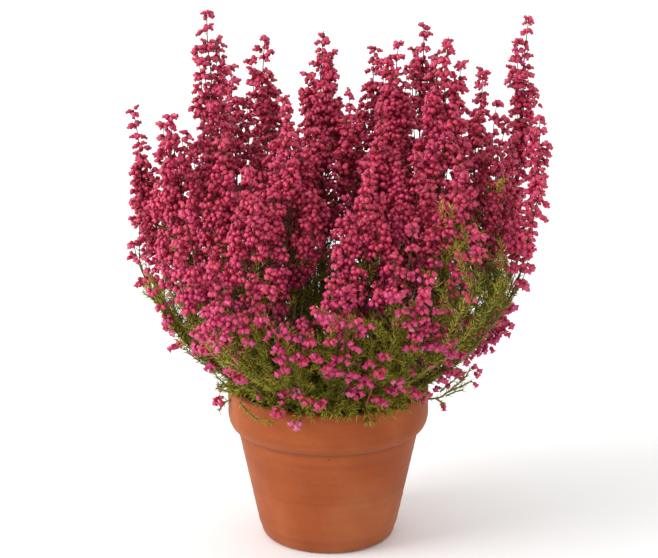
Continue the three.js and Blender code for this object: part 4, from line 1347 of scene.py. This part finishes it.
def leafy_shoots(own, lead, rng):
    """The leafy shoots of a stem, each with its tone."""
    shoots = []
    for spike in own:
        out_bearing = math.atan2(spike.share[1], spike.share[0])
        height = FORK_HEIGHT - 5
        leafy_top = spike.start + 10 + RAISED_FLOWERS.get(spike.number, 0)
        while height < (leafy_top if spike.outer else INNER_LEAVES_BELOW):
            start = spike.core(height)
            bearing = out_bearing + rng.normal(0, 1.4)
            out = outward(bearing)
            length = rng.uniform(12, 27)
            lean = rng.uniform(0.15, 1.3)
            end = start + length * (lean * out + rng.uniform(0.55, 0.9) * UP)
            path = bent_path(start, start + 0.35 * length * (out + 0.7 * UP), end)
            if clear_of_pot(path) and np.linalg.norm(end[:2]) < bush_radius(end[2]):
                shoots.append((path, rng.uniform(0.15, 0.95)))
            height += rng.uniform(1.7, 3.1) * (1 if spike.outer else 3)
    if np.linalg.norm(lead.stem_share) > FRINGE_SHARE:
        for _ in range(FRINGE_SHOOTS):
            start = lead.core(rng.uniform(85, 92))
            bearing = math.atan2(start[1], start[0]) + rng.normal(0, 1.3)
            out = outward(bearing)
            end = start + rng.uniform(8, 16) * (out + rng.uniform(0.4, 1.4) * UP)
            path = bent_path(start, start + 4 * out + 4 * UP, end)
            if clear_of_pot(path):
                shoots.append((path, rng.uniform(0.15, 0.95)))
    return shoots


def grow_stem(number):
    """A woody stem with its branches up to the flowers, and the leafy shoots on them."""
    rng = np.random.default_rng([SEED, 300 + number])
    own = [spike for spike in spikes if spike.stem == number]
    green = Growth()
    lead = own[0]
    trunk = np.linspace(SOIL_LEVEL - ROOT_DEPTH + 1, FORK_HEIGHT + 1, 14)
    green.twig(lead.core(trunk), TRUNK_RADII, TRUNK_SHADE, 7)
    for spike in own:
        path = spike.core(np.linspace(FORK_HEIGHT - 2, spike.start + 1, 20))
        green.twig(path, BRANCH_RADII, BRANCH_SHADE, 5)
        leafy_length(green, Shoot(path), 0.45, rng, NEEDLE_STEP if spike.outer else 1.6 * NEEDLE_STEP)
    for path, tone in leafy_shoots(own, lead, rng):
        green.twig(path, LEAFY_RADII, LEAFY_SHADE)
        leafy_length(green, Shoot(path), tone, rng)
    label = f"{number:02d}"
    green.make(f"leafy_twigs_{label}", "leafy_stem", [f"leafy_stem_{label}"])


# Low sprigs and flowers

def nearest_spike(point, height):
    """The spike that passes closest to a point, seen from above, at a height."""
    return min(spikes, key=lambda spike: np.linalg.norm(spike.core(height)[:2] - point[:2]))


def grow_inner_twigs():
    """Leafy twigs between the stems, which close the view through the plant."""
    rng = np.random.default_rng([SEED, 600])
    green = Growth()
    for _ in range(INNER_TWIGS):
        bearing = rng.uniform(0, FULL_TURN)
        out = math.sqrt(rng.random())
        share = INNER_REACH * out * outward(bearing)
        top = rng.uniform(*INNER_TOPS) - INNER_DROP * out ** 4
        heights = np.linspace(SOIL_LEVEL - 2, top, 14)
        wave = 1.2 * np.sin(heights / 9 + rng.uniform(0, FULL_TURN))
        path = np.stack([share[0] * spread(heights) + wave, share[1] * spread(heights) - wave, heights], -1)
        if not clear_of_pot(path[3:]):
            continue
        green.twig(path, INNER_RADII, INNER_SHADE)
        leafy_length(green, Shoot(path[3:]), rng.uniform(0.1, 0.5), rng, 1.5 * NEEDLE_STEP)
    for spike in spikes:
        heights = rng.uniform(FORK_HEIGHT, spike.start + 28, TANGLE_TWIGS)
        starts = spike.core(heights)
        bearing = math.atan2(spike.share[1], spike.share[0]) + math.pi
        inward = circle(bearing + rng.normal(0, 1.0, TANGLE_TWIGS))
        length = rng.uniform(22, 46, (TANGLE_TWIGS, 1))
        ends = starts + length * (rng.uniform(0.3, 1.0, (TANGLE_TWIGS, 1)) * inward + 0.75 * UP)
        bends = mix(starts, ends, 0.5) + 0.12 * length * inward
        inside = np.linalg.norm(ends[:, :2], axis=1) < 0.75 * bush_radius(ends[:, 2])
        paths = np.stack([starts, bends, ends], axis=1)[inside]
        green.rods(paths, TANGLE_RADII, 3, rng.uniform(0.1, 0.9, TANGLE_TWIGS)[inside])
    green.make("inner_twigs", "leafy_stem")


def grow_rim_leaves():
    """Leafy shoots that lean over the rim all round, but for the bare stretch at the front left."""
    rng = np.random.default_rng([SEED, 650])
    green = Growth()
    all_round = rng.uniform(-math.pi, math.pi, RIM_TUFTS)
    tufts = np.repeat(np.concatenate([all_round, rng.uniform(*FRONT_ARC, FRONT_TUFTS)]), TUFT_SHOOTS)
    for bearing in tufts + rng.normal(0, 0.09, len(tufts)):
        start = outward(bearing) * rng.uniform(32, 48) + UP * rng.uniform(86, 97)
        drop = 2.4 * math.sin(5 * bearing) + 1.8 * math.sin(11 * bearing + 1) + rng.uniform(-9, 4)
        path = rim_shoot(start, rng.normal(0, 0.16), rng.uniform(-2, 3) + 0.2 * drop, drop)
        if in_bare_arc(path[-1]) and rng.random() < BARE_ARC_LOSS:
            continue
        green.twig(path, RIM_RADII, RIM_SHADE)
        leafy_length(green, Shoot(path), rng.uniform(0.3, 0.9), rng, 0.8 * NEEDLE_STEP)
    green.make("rim_leaves", "leafy_stem")


def on_leaves(u, v):
    """The place on the front of the leaves that a pixel shows, found in a few rounds."""
    depth = -80.0
    for _ in range(6):
        x, _, height = at_pixel(u, v, depth)
        depth = -math.sqrt(max((bush_radius(height) - 3) ** 2 - x ** 2, 0))
    return at_pixel(u, v, depth)


def nearest_point(growth, point):
    """The point of a growth's rods that lies closest to a point."""
    every = np.concatenate([part[0] for part in growth.parts if part[2] == "twig"])
    return every[np.argmin(np.linalg.norm(every - point, axis=1))]


def hang_sprigs(bells, green, rng):
    """The sprigs that hang out over the rim, with their bells, and the reddish twig."""
    for pixels in SPRIG_PATHS:
        marks = np.array([at_pixel(*pixel) for pixel in pixels])
        places = np.linspace(0, len(marks) - 1, 3 * len(marks))
        path = np.stack([np.interp(places, np.arange(len(marks)), marks[:, i]) for i in range(3)], -1)
        green.twig(path, SPRIG_RADII, SPRIG_SHADE, 5)
        leafy_length(green, Shoot(path), 0.6, rng)
    green.twig([at_pixel(*pixel) for pixel in RED_TWIG], RED_RADII, RED_SHADE, 5)
    for pixel in SPRIG_BELLS:
        root = at_pixel(*pixel)
        foot = nearest_point(green, root)
        axis = unit(unit(root - foot) - 0.5 * UP + 0.3 * rng.standard_normal(3))
        green.twig([foot, root], (SPRIG_STALK_RADIUS, SPRIG_STALK_RADIUS), SPRIG_STALK_SHADE)
        bells.hang(root[None], axis[None], SPRIG_BELL_SIZE, SPRIG_BELL_TONE, 1, rng)


def cluster_places(rng):
    """The low clusters: place, number of bells and how much paler they are."""
    places = []
    for u, v, depth, count in LOW_CLUSTERS:
        places.append((at_pixel(u, v, depth), count, PALE_TONE if v > PALE_ROW else 0))
    for u, v in FRONT_CLUSTERS:
        places.append((on_leaves(u, v), rng.integers(4, 6), 0))
    for _ in range(SCATTERED_CLUSTERS):
        bearing = rng.uniform(0, FULL_TURN)
        height = rng.uniform(*SCATTERED_HEIGHTS)
        reach = bush_radius(height) - rng.uniform(-1, 9)
        place = reach * outward(bearing) + height * UP
        if height > BARE_BELOW or not in_bare_arc(place):
            places.append((place, rng.integers(3, 7), 0))
    return places


def grow_green_tip(green, tip, rng):
    """A leafy shoot that ends at a tip."""
    foot = max(tip[2] - TIP_DROP, LOWEST_FOOT)
    start = nearest_spike(tip, foot).core(foot)
    path = bent_path(start, mix(start, tip, 0.5) + 4 * UP, tip)
    green.twig(path, LEAFY_RADII, LEAFY_SHADE)
    leafy_length(green, Shoot(path), rng.uniform(0.2, 0.7), rng)


def grow_cluster(bells, green, tip, count, paler, rng):
    """A few bells at the end of a leafy twig."""
    spike = nearest_spike(tip, max(tip[2] - 12, LOWEST_FOOT))
    start = spike.core(max(tip[2] - 14, LOWEST_FOOT - 1))
    path = bent_path(start, mix(start, tip, 0.6) + 5 * UP, tip + 1.5 * UP)
    green.twig(path, LEAFY_RADII, CLUSTER_SHADE)
    leafy_length(green, Shoot(path), 0.55, rng, bare=3)
    around = circle(FULL_TURN * (np.arange(count) + rng.uniform(0, 0.5, count)) / count)
    roots = path[-1] + 0.8 * around + rng.uniform(-3.4, 1.0, (count, 1)) * UP
    axes = unit(around - rng.uniform(0.2, 1.5, (count, 1)) * UP)
    bells.hang(roots, axes, SPRIG_BELL_SIZE, rng.uniform(0.6, 0.75) + paler, 1, rng)


def grow_sprigs():
    """The sprigs over the rim, the leafy tips seen in the photo and the flowers low on the leaves."""
    rng = np.random.default_rng([SEED, 700])
    bells, green, flowers = Bells(), Growth(), Growth()
    hang_sprigs(bells, green, rng)
    clusters = cluster_places(rng)
    for tip in np.repeat([at_pixel(*pixel) for pixel in GREEN_TIPS], TIP_SHOOTS, axis=0):
        grow_green_tip(green, tip + rng.normal(0, TIP_SCATTER, 3), rng)
    for place, count, paler in clusters:
        grow_cluster(bells, green, place, count, paler, rng)
    bells.grow(flowers, rng)
    flowers.make("low_bells", "flower")
    green.make("low_sprigs", "leafy_stem")


set_stage()
make_pot()
make_soil()
for spike in spikes:
    grow_spike(spike)
for number in sorted({spike.stem for spike in spikes}):
    grow_stem(number)
grow_inner_twigs()
grow_rim_leaves()
grow_sprigs()
